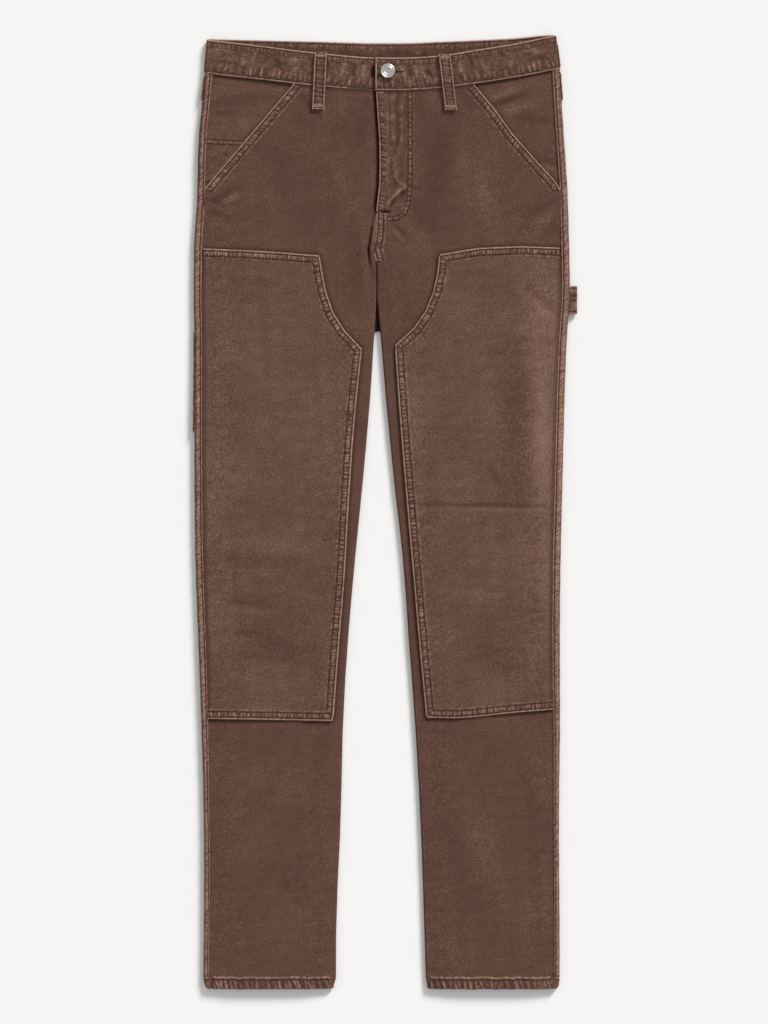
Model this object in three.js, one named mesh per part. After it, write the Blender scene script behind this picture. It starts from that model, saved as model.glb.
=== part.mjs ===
// Carpenter pants with scooped double-knee overlays, laid flat with the front up.
// Millimetres. +X is the wearer's left, +Y points to the waist and +Z is up from the surface below.
// The origin lies on that surface, under the middle of the garment's outline.
// Heights along the garment are called up and are measured from the hem.

import * as THREE from 'three';

const { lerp, clamp, degToRad } = THREE.MathUtils;
const RIGHT_ANGLE = Math.PI / 2;

// Cloth and gaps
const CLOTH = 1.4;            // one layer of washed canvas
const BAND_CLOTH = 2.0;       // the waistband is folded double
const LOOP_CLOTH = 1.8;       // belt loops are folded in three
const PATCH_CLOTH = 1.0;      // coin pocket, and the pocket at the side
const SHIELD_CLOTH = 1.2;     // underlap of the fly
const GAP = 0.3;              // between neighbouring pieces
const WIDE_GAP = 0.6;         // where two curved edges run side by side

// Lie of the cloth on the surface
const EDGE_HEIGHT = 4.4;      // top of the front at a leg's edge
const CROWN = 2.1;            // how much higher the front is along a leg's middle
const HIP_CROWN = 0.6;        // the same where the pocket facing lies below
const INSEAM_ROLL = 2.6;      // width of the rolled inner edge of a leg
const SIDE_RADIUS = 2.8;      // radius of the rolled side, which carries the felled seam
const BAND_RADIUS = 3.0;      // radius of the waistband's turn at the side
const BAND_HEIGHT_MID = 7.0;  // top of the waistband away from the side
const MOUTH_LIFT = CLOTH + GAP;

// Heights along the garment
const HEM_DEPTH = 12;
const FRONT_CROTCH_UP = 819;
const BACK_CROTCH_UP = 745;
const WAIST_SEAM_UP = 1016;
const WAISTBAND_WIDTH = 38;
const FLY_BOTTOM_UP = 879;
const HEM_EXTRA = 0.7;        // the hem is thicker by its fold

// Edges of the two legs seen from above. Above the crotch the inner edge is the centre line.
const OUTLINE = table('up rightOut rightIn leftIn leftOut', [
  [0, -202.6, -59.0, 49.0, 196.8],
  [9, -205.2, -55.2, 46.8, 198.0],
  [78, -204.4, -54.8, 44.6, 198.0],
  [190, -204.6, -49.8, 40.6, 197.3],
  [304, -207.6, -47.0, 34.2, 198.6],
  [394, -211.0, -41.5, 27.4, 198.3],
  [485, -214.2, -33.6, 20.8, 199.2],
  [575, -215.2, -24.6, 10.6, 201.4],
  [666, -215.4, -16.6, 1.6, 203.6],
  [734, -215.4, -12.2, -4.2, 206.2],
  [779, -216.2, -9.4, -8.6, 209.4],
  [819, -216.0, -9.6, -9.2, 209.4],
  [835, -215.8, -11.4, -11.0, 209.0],
  [852, -215.3, -9.0, -8.6, 208.6],
  [879, -213.0, -8.3, -7.9, 207.8],
  [913, -211.8, -5.1, -4.5, 206.4],
  [957, -211.0, -5.1, -4.5, 203.4],
  [1013, -205.6, -8.7, -8.1, 199.8],
  [1050, -202.6, -9.0, -8.4, 197.6],
  [1079, -200.8, -9.0, -8.4, 193.4],
]);

// Width of the felled side seam that shows beside the front
const SIDE_SEAM = table('up width', [
  [0, 6.0],
  [260, 6.5],
  [330, 8.5],
  [600, 9.0],
  [900, 9.0],
  [1050, 8.6],
]);

// Edges of the waistband across the garment
const WAIST = table('x frontTop frontSeam backTop', [
  [-212, 1073.6, 1036.6, 1074.4],
  [-198, 1072.2, 1034.4, 1074.0],
  [-144, 1066.0, 1028.0, 1072.6],
  [-80, 1058.0, 1020.8, 1071.2],
  [-14, 1052.6, 1015.8, 1069.4],
  [30, 1052.4, 1015.8, 1069.6],
  [64, 1054.8, 1018.4, 1071.0],
  [101, 1060.6, 1022.8, 1072.6],
  [150, 1068.6, 1030.6, 1075.2],
  [184, 1075.6, 1037.2, 1078.4],
  [200, 1078.0, 1041.0, 1078.6],
]);

// Slanted pocket mouths, from the side seam up to the waistband
const MOUTH = table('up right left', [
  [890, -216.4, 213.0],
  [913, -196.6, 192.4],
  [963, -153.8, 147.0],
  [998, -124.0, 121.4],
  [1026, -100.0, 97.4],
]);
const FACING_UNDERLAP = 14;   // how far the facing runs on below the front
const FACING_BOTTOM_UP = 888;
const COIN_POCKET = { bottom: 913, topAtSeam: 963, topAtMouth: 959, clear: 0.7 };

// Knee overlays. Along the top, in is the share of the width from the side seam, and the scoop starts at its corner.
const KNEE_TOP = table('in right left', [
  [0, 836.6, 837.4],
  [0.24, 834.8, 839.0],
  [0.5, 832.0, 837.0],
  [0.735, 828.4, 829.6],
  [0.749, 812.0, 807.0],
  [0.775, 788.0, 786.0],
  [0.82, 764.0, 765.0],
  [0.89, 744.0, 746.0],
  [1, 723.0, 727.6],
]);
const KNEE_COLUMNS = [0, 0.06, 0.15, 0.24, 0.37, 0.5, 0.62, 0.735, 0.749, 0.775, 0.82, 0.89, 0.95, 1];
const KNEE_INNER = table('up right left', [
  [300, -58.4, 47.6],
  [399, -51.0, 38.2],
  [464, -45.6, 32.6],
  [538, -41.4, 26.0],
  [599, -37.6, 20.8],
  [666, -32.0, 15.6],
  [723, -25.8, 11.8],
]);
const KNEE_BOTTOM = table('in right left', [
  [0, 305.2, 315.8],
  [0.35, 304.6, 311.6],
  [0.7, 303.6, 306.4],
  [1, 302.8, 306.6],
]);

// The largest folds, as soft ridges and troughs between two places on the front
const FOLDS = table('x up toX toUp reach height', [
  [66, 970, 60, 885, 17, -0.55],
  [-38, 850, -34, 772, 14, -0.5],
  [44, 548, 190, 545, 11, -0.4],
  [172, 700, 174, 545, 22, 0.2],
  [140, 720, 146, 560, 22, -0.4],
  [-196, 880, -150, 862, 15, -0.4],
  [190, 872, 140, 850, 15, -0.4],
  [-150, 395, -90, 372, 22, -0.4],
  [-170, 480, -120, 470, 26, -0.35],
  [96, 380, 150, 360, 24, -0.35],
  [-120, 120, -80, 96, 22, -0.35],
  [90, 210, 130, 110, 24, 0.2],
]);

// Fly, belt loops and small pieces
const FLY_DROP = 1.2;         // the right front lies lower where the left one laps over it
const FLY_SHIELD = { inset: -14, outset: 26, dip: 3.2 };
const OVERLAP_X = -10.4;      // end of the upper waistband
const UNDERLAP_X = 18;        // end of the lower waistband
const BAND_LOW = 4.7;         // top of the waistband where it runs on below the other
const BELT_LOOP = { above: 0.8, bow: 0.7 };
const BELT_LOOPS = table('side topX bottomX width bottomUp', [
  ['right', -72.2, -75.2, 13.6, 993.6],
  ['left', 67.4, 74.9, 13.2, 993.0],
]);
const SIDE_LOOP = { top: 1068, bottom: 1005, from: 85, to: -38 };
const TOOL_POCKET = { top: 743, bottom: 629, from: 84, to: -39 };
const HAMMER_LOOP = { low: 763, high: 794.5, reach: 8.2, top: 4.3, bottom: 0.4 };
const BUTTON = { x: 3.5, up: 1037, radius: 8.5, height: 3.2 };

const CANVAS = { color: 0x6a4d41, roughness: 0.93, metalness: 0 };
const METAL = { color: 0xb9b2ad, roughness: 0.35, metalness: 1 };

// Rows of a table as objects with named columns
function table(names, rows) {
  const keys = names.split(' ');
  return rows.map((row) => Object.fromEntries(row.map((value, i) => [keys[i], value])));
}

// Smooth curve through one column of a table, as a function of another column
function curve(rows, key, value) {
  const last = rows.length - 1;
  const slope = (i) => {
    const before = rows[Math.max(i - 1, 0)];
    const after = rows[Math.min(i + 1, last)];
    return (after[value] - before[value]) / (after[key] - before[key]);
  };
  return (at) => {
    const next = rows.findIndex((row) => row[key] > at);
    const i = next < 0 ? last - 1 : Math.max(next - 1, 0);
    const span = rows[i + 1][key] - rows[i][key];
    const t = clamp((at - rows[i][key]) / span, 0, 1);
    const bend = t * t * (3 - 2 * t);
    const ends = lerp(rows[i][value], rows[i + 1][value], bend);
    return ends + span * t * (1 - t) * ((1 - t) * slope(i) - t * slope(i + 1));
  };
}

// Straight lines through one column of a table, for edges with corners
function polyline(rows, key, value) {
  return (at) => {
    const next = rows.findIndex((row) => row[key] > at);
    const i = next < 0 ? rows.length - 2 : Math.max(next - 1, 0);
    const t = clamp((at - rows[i][key]) / (rows[i + 1][key] - rows[i][key]), 0, 1);
    return lerp(rows[i][value], rows[i + 1][value], t);
  };
}

function ease(x, from, to) {
  const t = clamp((x - from) / (to - from), 0, 1);
  return t * t * (3 - 2 * t);
}

const frontTop = curve(WAIST, 'x', 'frontTop');
const frontSeam = curve(WAIST, 'x', 'frontSeam');
const backTop = curve(WAIST, 'x', 'backTop');
const backSeam = (x) => backTop(x) - WAISTBAND_WIDTH - WIDE_GAP;
const sideSeam = curve(SIDE_SEAM, 'up', 'width');

const SIDES = ['right', 'left'].map((name) => ({
  name,
  outward: name === 'right' ? -1 : 1,
  outline: curve(OUTLINE, 'up', `${name}Out`),
  inside: curve(OUTLINE, 'up', `${name}In`),
  mouth: curve(MOUTH, 'up', name),
  kneeTop: polyline(KNEE_TOP, 'in', name),
  kneeInner: curve(KNEE_INNER, 'up', name),
  kneeBottom: curve(KNEE_BOTTOM, 'in', name),
}));
const [RIGHT, LEFT] = SIDES;

// A closed wall of cloth. point(u, v) is on its outer face, and the inner face lies one thickness behind.
function wall(columns, rows, point, thickness, facing) {
  const step = 0.004;
  const slopeAlong = (values, at, pointAt) => {
    const low = Math.max(at - step, values[0]);
    const high = Math.min(at + step, values[values.length - 1]);
    return pointAt(high).sub(pointAt(low));
  };
  const outer = [];
  const inner = [];
  for (const v of rows) {
    for (const u of columns) {
      const across = slopeAlong(columns, u, (at) => point(at, v));
      const along = slopeAlong(rows, v, (at) => point(u, at));
      const normal = across.cross(along).normalize().multiplyScalar(facing);
      const depth = typeof thickness === 'function' ? thickness(u, v) : thickness;
      outer.push(point(u, v));
      inner.push(point(u, v).addScaledVector(normal, -depth));
    }
  }
  const points = [...outer, ...inner];
  const width = columns.length;
  const at = (layer, column, row) => layer * outer.length + row * width + column;
  const faces = [];
  const quad = (a, b, c, d) => faces.push(a, b, c, a, c, d);
  for (let row = 0; row < rows.length - 1; row += 1) {
    for (let column = 0; column < width - 1; column += 1) {
      quad(at(0, column, row), at(0, column + 1, row), at(0, column + 1, row + 1), at(0, column, row + 1));
      quad(at(1, column, row), at(1, column, row + 1), at(1, column + 1, row + 1), at(1, column + 1, row));
    }
    const end = width - 1;
    quad(at(0, 0, row), at(0, 0, row + 1), at(1, 0, row + 1), at(1, 0, row));
    quad(at(0, end, row), at(1, end, row), at(1, end, row + 1), at(0, end, row + 1));
  }
  const lastRow = rows.length - 1;
  for (let column = 0; column < width - 1; column += 1) {
    quad(at(0, column, 0), at(1, column, 0), at(1, column + 1, 0), at(0, column + 1, 0));
    quad(at(0, column, lastRow), at(0, column + 1, lastRow), at(1, column + 1, lastRow), at(1, column, lastRow));
  }
  if (facing < 0) {
    faces.reverse();
  }
  const geometry = new THREE.BufferGeometry().setFromPoints(points);
  geometry.setIndex(faces);
  geometry.computeVertexNormals();
  return geometry;
}

// Even values from one number to another, both included
function range(from, to, steps) {
  return Array.from({ length: steps + 1 }, (_, i) => lerp(from, to, i / steps));
}

// Heights of the cloth

function foldHeight(x, up) {
  return FOLDS.reduce((sum, fold) => {
    const along = new THREE.Vector2(fold.toX - fold.x, fold.toUp - fold.up);
    const from = new THREE.Vector2(x - fold.x, up - fold.up);
    const share = clamp(from.dot(along) / along.lengthSq(), 0, 1);
    const away = from.addScaledVector(along, -share).length();
    const taper = 0.35 + 0.65 * Math.sin(share * Math.PI);
    return sum + fold.height * taper * Math.exp(-((away / fold.reach) ** 2));
  }, 0);
}

// 1 where the legs are separate, 0 where the front is one width up to the centre
function legShare(up) {
  return 1 - ease(up, 792, FRONT_CROTCH_UP + 6);
}

function backLegShare(up) {
  return 1 - ease(up, BACK_CROTCH_UP - 14, BACK_CROTCH_UP + 4);
}

// 1 where the front lies on the pocket facing, fading out below the pocket mouth
function pocketShare(up) {
  return ease(up, 858, 892);
}

// The facing's face, and the front's where no facing lies below
function baseHeight(side, x, up) {
  const share = clamp((x - side.outline(up)) / (side.inside(up) - side.outline(up)), 0, 1);
  const fall = 1 - Math.abs(2 * share - 1) ** 3;
  const rise = share < 0.5 ? fall : lerp(1, fall, legShare(up));
  const crown = lerp(CROWN, HIP_CROWN, pocketShare(up));
  const edgeFade = Math.min(1, 6 * share) * lerp(1, Math.min(1, 6 * (1 - share)), legShare(up));
  return EDGE_HEIGHT + crown * rise + foldHeight(x, up) * edgeFade;
}

function flyDrop(side, x, up) {
  if (side === LEFT) {
    return 0;
  }
  const fromCentre = side.inside(up) - x;
  return FLY_DROP * (1 - ease(fromCentre, 2, 22)) * ease(up, FLY_BOTTOM_UP - 22, FLY_BOTTOM_UP - 2);
}

function frontHeight(side, x, up) {
  return baseHeight(side, x, up) + MOUTH_LIFT * pocketShare(up) - flyDrop(side, x, up);
}

function bandHeight(side, x) {
  const fromSide = Math.abs(x - side.outline(1050));
  const height = lerp(2 * BAND_RADIUS, BAND_HEIGHT_MID, ease(fromSide, BAND_RADIUS, 80));
  return side === RIGHT ? lerp(height, BAND_LOW, ease(x, -52, OVERLAP_X - 3)) : height;
}

// Legs

function seamX(side, up) {
  return side.outline(up) - side.outward * sideSeam(up);
}

function frontOuterX(side, up) {
  const seam = seamX(side, up) - side.outward * GAP;
  const mouth = side.mouth(up);
  const inMouth = up > MOUTH[0].up && side.outward * (seam - mouth) > 0;
  return inMouth ? mouth : seam;
}

// Where a row of the panel meets the waistband, it bends to follow the seam.
function bentUp(v, seamUp) {
  return v + ease(v, 900, WAIST_SEAM_UP) * (seamUp - WAIST_SEAM_UP);
}

// u is 0 at the side seam, 1 where the inner edge starts to roll and 2 at its end. v is the height up.
function frontPoint(side, u, v) {
  const share = Math.min(u, 1);
  const roll = Math.max(u - 1, 0);
  const curl = legShare(v);
  let up = v;
  let x = 0;
  for (let pass = 0; pass < 4; pass += 1) {
    const rollX = side.inside(up) + side.outward * INSEAM_ROLL;
    x = lerp(frontOuterX(side, up), rollX, share);
    up = bentUp(v, frontSeam(x) - GAP);
  }
  const quarter = roll * RIGHT_ANGLE;
  const left = lerp(1 - roll, 1 - Math.sin(quarter), curl);
  const edge = side.inside(up) + side.outward * INSEAM_ROLL * left;
  const hem = HEM_EXTRA * 0.5 * (v < HEM_DEPTH ? 1 : 0) * Math.min(1, 4 * (1 - share));
  const at = roll > 0 ? edge : x;
  const top = frontHeight(side, at, up) + hem;
  const end = (EDGE_HEIGHT + GAP) / 2;
  const z = top - curl * (top - end) * (1 - Math.cos(quarter));
  return new THREE.Vector3(at, up, z);
}

const FRONT_COLUMNS = [...range(0, 1, 10), 1.35, 1.7, 2];
const PANEL_ROWS = [
  0, 11.8, 12.2, 60, 115, 170, 230, 290, 350, 400, 445, 490, 530, 547, 575, 620, 670, 715, 731, 741, 752, 779,
  792, 803, 814, 826, 840, 858, 870, 881, 892, 905, 913, 932, 960, 988, WAIST_SEAM_UP,
];

function frontPanel(side) {
  const thickness = (u, v) => CLOTH + (v < HEM_DEPTH && u > 0 && u < 1 ? HEM_EXTRA : 0);
  const point = (u, v) => frontPoint(side, u, v);
  return wall(FRONT_COLUMNS, PANEL_ROWS, point, thickness, -side.outward);
}

function backInsideX(side, up) {
  const seam = LEFT.inside(up) - 0.2 + side.outward * GAP / 2;
  return lerp(seam, side.inside(up), backLegShare(up));
}

// u is 0 at the inner edge, 1 on the floor beside it, 2 where the side starts to roll, 3 on top and 4 at the seam.
function backPoint(side, u, v) {
  if (u <= 1) {
    const quarter = (1 - u) * RIGHT_ANGLE;
    const curl = backLegShare(v);
    const left = lerp(u, 1 - Math.sin(quarter), curl);
    const x = backInsideX(side, v) + side.outward * INSEAM_ROLL * left;
    const z = curl * ((EDGE_HEIGHT - GAP) / 2) * (1 - Math.cos(quarter));
    return new THREE.Vector3(x, bentUp(v, backSeam(x)), z);
  }
  const floorShare = Math.min(u - 1, 1);
  const turnShare = clamp(u - 2, 0, 1);
  const turn = degToRad(lerp(-90, 90, turnShare));
  let up = v;
  let x = 0;
  for (let pass = 0; pass < 4; pass += 1) {
    const edgeX = side.outline(up) - side.outward * SIDE_RADIUS;
    const floorX = lerp(backInsideX(side, v) + side.outward * INSEAM_ROLL, edgeX, floorShare);
    const topX = lerp(floorX, seamX(side, up), Math.max(u - 3, 0));
    x = topX + side.outward * SIDE_RADIUS * (u > 2 && u < 3 ? Math.cos(turn) : 0);
    up = bentUp(v, lerp(backSeam(x), frontSeam(x) - WIDE_GAP, turnShare));
  }
  return new THREE.Vector3(x, up, u > 2 ? SIDE_RADIUS * (1 + Math.sin(turn)) : 0);
}

const BACK_COLUMNS = [0, 0.3, 0.65, ...range(1, 2, 4), ...range(2, 3, 7).slice(1), 4];

function backPanel(side) {
  const thickness = (u, v) => CLOTH + (v < HEM_DEPTH && u > 1 && u < 2 ? HEM_EXTRA : 0);
  const point = (u, v) => backPoint(side, u, v);
  return wall(BACK_COLUMNS, PANEL_ROWS, point, thickness, -side.outward);
}

// Knee overlay, on the front's points moved out

function kneePoint(side, u, v) {
  const up = lerp(side.kneeBottom(u), side.kneeTop(u), v);
  const outer = seamX(side, up) - side.outward * WIDE_GAP;
  const x = lerp(outer, side.kneeInner(up), u);
  return new THREE.Vector3(x, up, frontHeight(side, x, up) + GAP + CLOTH);
}

function kneePanel(side) {
  const rows = [0, 0.09, 0.18, 0.27, 0.36, 0.43, 0.48, 0.54, 0.62, 0.72, 0.81, 0.9, 0.96, 1];
  return wall(KNEE_COLUMNS, rows, (u, v) => kneePoint(side, u, v), CLOTH, -side.outward);
}

// Front pockets

function facingPoint(side, u, v) {
  let up = lerp(FACING_BOTTOM_UP, WAIST_SEAM_UP, v);
  let x = 0;
  for (let pass = 0; pass < 4; pass += 1) {
    const outer = seamX(side, up) - side.outward * WIDE_GAP;
    const mouth = frontOuterX(side, up) - side.outward * FACING_UNDERLAP;
    x = lerp(outer, mouth, u);
    up = lerp(FACING_BOTTOM_UP, frontSeam(x) - GAP, v);
  }
  return new THREE.Vector3(x, up, baseHeight(side, x, up));
}

function pocketFacing(side) {
  const point = (u, v) => facingPoint(side, u, v);
  return wall(range(0, 1, 7), range(0, 1, 7), point, CLOTH, -side.outward);
}

function coinPocket() {
  const point = (u, v) => {
    const up = lerp(COIN_POCKET.bottom, lerp(COIN_POCKET.topAtSeam, COIN_POCKET.topAtMouth, u), v);
    const outer = seamX(RIGHT, up) + WIDE_GAP + GAP;
    const x = lerp(outer, RIGHT.mouth(up) - COIN_POCKET.clear, u);
    return new THREE.Vector3(x, up, baseHeight(RIGHT, x, up) + GAP + PATCH_CLOTH);
  };
  return wall(range(0, 1, 5), range(0, 1, 5), point, PATCH_CLOTH, 1);
}

// Waistband. u is 0 at the centre front, 1 where the side starts to turn, 2 below and 3 at the centre back.
function bandPoint(side, u, v) {
  const frontUp = (x) => lerp(frontSeam(x), frontTop(x), v);
  const backUp = (x) => lerp(backTop(x) - WAISTBAND_WIDTH, backTop(x), v);
  const edge = side.outline(frontUp(side.outline(1058))) - side.outward * BAND_RADIUS;
  const start = side === RIGHT ? UNDERLAP_X : OVERLAP_X;
  const end = LEFT.inside(1040) + side.outward * GAP / 2;
  if (u <= 1) {
    const x = lerp(start, edge, u);
    return new THREE.Vector3(x, frontUp(x), bandHeight(side, x));
  }
  if (u <= 2) {
    const turn = degToRad(lerp(90, -90, u - 1));
    const x = edge + side.outward * BAND_RADIUS * Math.cos(turn);
    return new THREE.Vector3(x, lerp(frontUp(x), backUp(x), u - 1), BAND_RADIUS * (1 + Math.sin(turn)));
  }
  const x = lerp(edge, end, u - 2);
  return new THREE.Vector3(x, backUp(x), 0);
}

function waistband(side) {
  const columns = [...range(0, 1, 13), ...range(1, 2, 7).slice(1), ...range(2, 3, 8).slice(1)];
  return wall(columns, range(0, 1, 2), (u, v) => bandPoint(side, u, v), BAND_CLOTH, side.outward);
}

// Fly

function flyShield() {
  const point = (u, v) => {
    const up = lerp(FLY_BOTTOM_UP - 4, WAIST_SEAM_UP - 2, v);
    const x = LEFT.inside(up) + lerp(FLY_SHIELD.inset, FLY_SHIELD.outset, u);
    const height = frontHeight(LEFT, LEFT.inside(up), up) - FLY_SHIELD.dip;
    return new THREE.Vector3(x, up, height);
  };
  return wall(range(0, 1, 4), range(0, 1, 8), point, SHIELD_CLOTH, 1);
}

// Belt loops and the small pieces at the sides

function beltLoop(row) {
  const side = row.side === 'right' ? RIGHT : LEFT;
  const point = (u, v) => {
    const topUp = frontTop(row.topX) + BELT_LOOP.above;
    const up = lerp(topUp, row.bottomUp, v);
    const x = lerp(row.topX, row.bottomX, v) + (u - 0.5) * row.width;
    const seam = frontSeam(x);
    const onBand = ease(up, seam - 9, seam - 1);
    const below = lerp(frontHeight(side, x, Math.min(up, seam)), bandHeight(side, x), onBand);
    const bow = BELT_LOOP.bow * Math.sin(v * Math.PI);
    return new THREE.Vector3(x, up, below + GAP + LOOP_CLOTH + bow);
  };
  return wall(range(0, 1, 3), range(0, 1, 12), point, LOOP_CLOTH, -1);
}

// A strip round the rolled side, on the outside of what it is sewn to
function sideStrip(side, size, radius, cloth) {
  const point = (u, v) => {
    const turn = degToRad(lerp(size.from, size.to, u));
    const up = lerp(size.bottom, size.top, v);
    const reach = radius + GAP + cloth;
    const x = side.outline(up) - side.outward * radius + side.outward * reach * Math.cos(turn);
    return new THREE.Vector3(x, up, radius + reach * Math.sin(turn));
  };
  return wall(range(0, 1, 6), range(0, 1, 6), point, cloth, side.outward);
}

function hammerLoop() {
  const radius = (HAMMER_LOOP.top - HAMMER_LOOP.bottom) / 2;
  const middle = (HAMMER_LOOP.top + HAMMER_LOOP.bottom) / 2;
  const point = (u, v) => {
    const up = lerp(HAMMER_LOOP.low, HAMMER_LOOP.high, v);
    const root = LEFT.outline(up) + GAP + 0.1;
    const turnX = LEFT.outline(up) + HAMMER_LOOP.reach - radius;
    if (u <= 1) {
      return new THREE.Vector3(lerp(root, turnX, u), up, HAMMER_LOOP.top);
    }
    if (u <= 2) {
      const turn = degToRad(lerp(90, -90, u - 1));
      return new THREE.Vector3(turnX + radius * Math.cos(turn), up, middle + radius * Math.sin(turn));
    }
    return new THREE.Vector3(lerp(turnX, root, u - 2), up, HAMMER_LOOP.bottom);
  };
  return wall([0, 0.5, 1, 1.2, 1.4, 1.6, 1.8, 2, 2.5, 3], range(0, 1, 4), point, PATCH_CLOTH, 1);
}

// Round metal button: a domed cap with a plain raised ring
function button() {
  const { radius, height } = BUTTON;
  const profile = [
    [0, 0],
    [radius - 0.8, 0],
    [radius, 0.9],
    [radius, height - 1.1],
    [radius - 0.9, height - 0.2],
    [radius - 2.0, height - 0.2],
    [radius - 2.5, height - 0.8],
    [radius - 4.6, height - 0.7],
    [radius - 5.2, height - 0.2],
    [0, height],
  ].map(([x, y]) => new THREE.Vector2(x, y));
  return new THREE.LatheGeometry(profile, 20).rotateX(RIGHT_ANGLE);
}

const pants = new THREE.Group();
const canvas = new THREE.MeshStandardMaterial(CANVAS);
const metal = new THREE.MeshStandardMaterial(METAL);

function add(name, geometry, material = canvas) {
  const mesh = new THREE.Mesh(geometry, material);
  mesh.name = name;
  pants.add(mesh);
  return mesh;
}

for (const side of SIDES) {
  add(`front_${side.name}`, frontPanel(side));
  add(`back_${side.name}`, backPanel(side));
  add(`knee_panel_${side.name}`, kneePanel(side));
  add(`pocket_facing_${side.name}`, pocketFacing(side));
  add(`waistband_${side.name}`, waistband(side));
  add(`belt_loop_side_${side.name}`, sideStrip(side, SIDE_LOOP, BAND_RADIUS, PATCH_CLOTH));
}
for (const row of BELT_LOOPS) {
  add(`belt_loop_front_${row.side}`, beltLoop(row));
}
add('coin_pocket', coinPocket());
add('fly_shield', flyShield());
add('tool_pocket', sideStrip(RIGHT, TOOL_POCKET, SIDE_RADIUS, PATCH_CLOTH));
add('hammer_loop', hammerLoop());
add('button', button(), metal).position.set(BUTTON.x, BUTTON.up, bandHeight(LEFT, BUTTON.x) + GAP);

// The origin goes under the middle of the outline
const middle = new THREE.Box3().setFromObject(pants).getCenter(new THREE.Vector3());
pants.position.set(-middle.x, -middle.y, 0);
pants.updateMatrixWorld(true);

export default pants;
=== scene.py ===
"""Looks of the carpenter pants: cloth shells, seam bands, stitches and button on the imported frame.

Lengths are in millimetres until a mesh is made. up is the height along the garment, from the hem.
"""
import math

import bpy
import numpy as np
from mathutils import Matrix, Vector
from mathutils.bvhtree import BVHTree


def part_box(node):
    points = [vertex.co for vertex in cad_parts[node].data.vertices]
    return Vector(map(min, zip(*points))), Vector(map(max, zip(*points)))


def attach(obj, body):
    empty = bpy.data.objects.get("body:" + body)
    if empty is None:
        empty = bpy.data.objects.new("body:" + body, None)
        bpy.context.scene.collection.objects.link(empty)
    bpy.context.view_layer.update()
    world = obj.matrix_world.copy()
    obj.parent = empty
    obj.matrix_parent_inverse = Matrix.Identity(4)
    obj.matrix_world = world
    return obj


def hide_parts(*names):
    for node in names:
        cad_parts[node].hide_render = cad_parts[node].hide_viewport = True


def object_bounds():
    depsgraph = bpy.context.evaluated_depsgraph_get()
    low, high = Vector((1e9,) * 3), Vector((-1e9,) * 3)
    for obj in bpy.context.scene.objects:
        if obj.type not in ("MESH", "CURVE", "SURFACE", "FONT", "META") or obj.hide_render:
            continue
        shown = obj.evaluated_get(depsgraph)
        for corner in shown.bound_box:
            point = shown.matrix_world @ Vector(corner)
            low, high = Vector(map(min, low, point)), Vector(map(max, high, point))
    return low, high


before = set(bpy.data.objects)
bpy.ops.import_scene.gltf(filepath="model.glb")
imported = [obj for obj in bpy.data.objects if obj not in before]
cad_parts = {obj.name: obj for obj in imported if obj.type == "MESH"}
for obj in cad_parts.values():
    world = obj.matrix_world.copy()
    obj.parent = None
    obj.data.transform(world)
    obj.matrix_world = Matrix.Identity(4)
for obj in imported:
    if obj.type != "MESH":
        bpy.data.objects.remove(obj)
cad_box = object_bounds()

MM = 0.001
HEM_Y = cad_box[0][1] / MM
SIDES = {"right": -1, "left": 1}
UP = np.array([0, 0, 1.0])
ACROSS = np.array([1.0, 0, 0])

# Construction sizes shared with the solids
CLOTH = 1.4
BAND_CLOTH = 1.7
EDGE_HEIGHT = 4.4
INSEAM_ROLL = 2.6
SIDE_RADIUS = 2.8
BAND_RADIUS = 3.0
FRONT_CROTCH = 819
BACK_CROTCH = 743
FLY_BOTTOM = 879
FLY_LEAN = 1.6
WAIST_SEAM = 1016
WAISTBAND_WIDTH = 38
MOUTH_BOTTOM = 903
SLOPE_START = 900
KNEE_OUTER_LOW = 320
KNEE_INNER_LOW = 309
KNEE_OUTER_TOP = 832
OUTER_SIDE_TOP = 1024
INNER_SIDE_TOP = 1013
HEM_CORNER = 3.0
FLY_FOLD_SHIFT = 1.3
BUTTON_FROM_CENTRE = 3.5
CENTRE_X = (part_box("button")[0][0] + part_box("button")[1][0]) / 2 / MM - BUTTON_FROM_CENTRE

# Scale of the picture, for the camera
MM_PER_PIXEL = 1.13
PICTURE_HEIGHT = 1024
CLOTH_TOP = 6
CAMERA_X = -1.25
CAMERA_Y = -0.3

# Sewing
STITCH_PITCH = 2.7
STITCH_LENGTH = 2.1
STITCH_WIDTH = 0.7
EDGE_ROW = 2.1
SECOND_ROW = 8.4
RIBBON_STEP = 0.8


def ease(x, start, end):
    t = np.clip((x - start) / (end - start), 0, 1)
    return t * t * (3 - 2 * t)


def mix(a, b, t):
    return a + (b - a) * t


def between(x, a, b):
    return np.clip(x, np.minimum(a, b), np.maximum(a, b))


def bell(x, reach):
    return np.exp(-(x / reach) ** 2)


def grid_of(x, up, z):
    """A grid of points from coordinates that are each a number, a row, a column or a grid."""
    return np.stack(np.broadcast_arrays(x, up, z), -1)


def table(names, rows):
    """Rows of numbers as a dict of named columns."""
    return dict(zip(names.split(), np.array(rows, float).T))


def curve(at, value):
    """A smooth curve through points."""
    slope = np.gradient(value, at)

    def line(x):
        i = np.clip(np.searchsorted(at, x) - 1, 0, len(at) - 2)
        span = at[i + 1] - at[i]
        t = np.clip((x - at[i]) / span, 0, 1)
        ends = mix(value[i], value[i + 1], t * t * (3 - 2 * t))
        return ends + span * t * (1 - t) * ((1 - t) * slope[i] - t * slope[i + 1])

    return line


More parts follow.
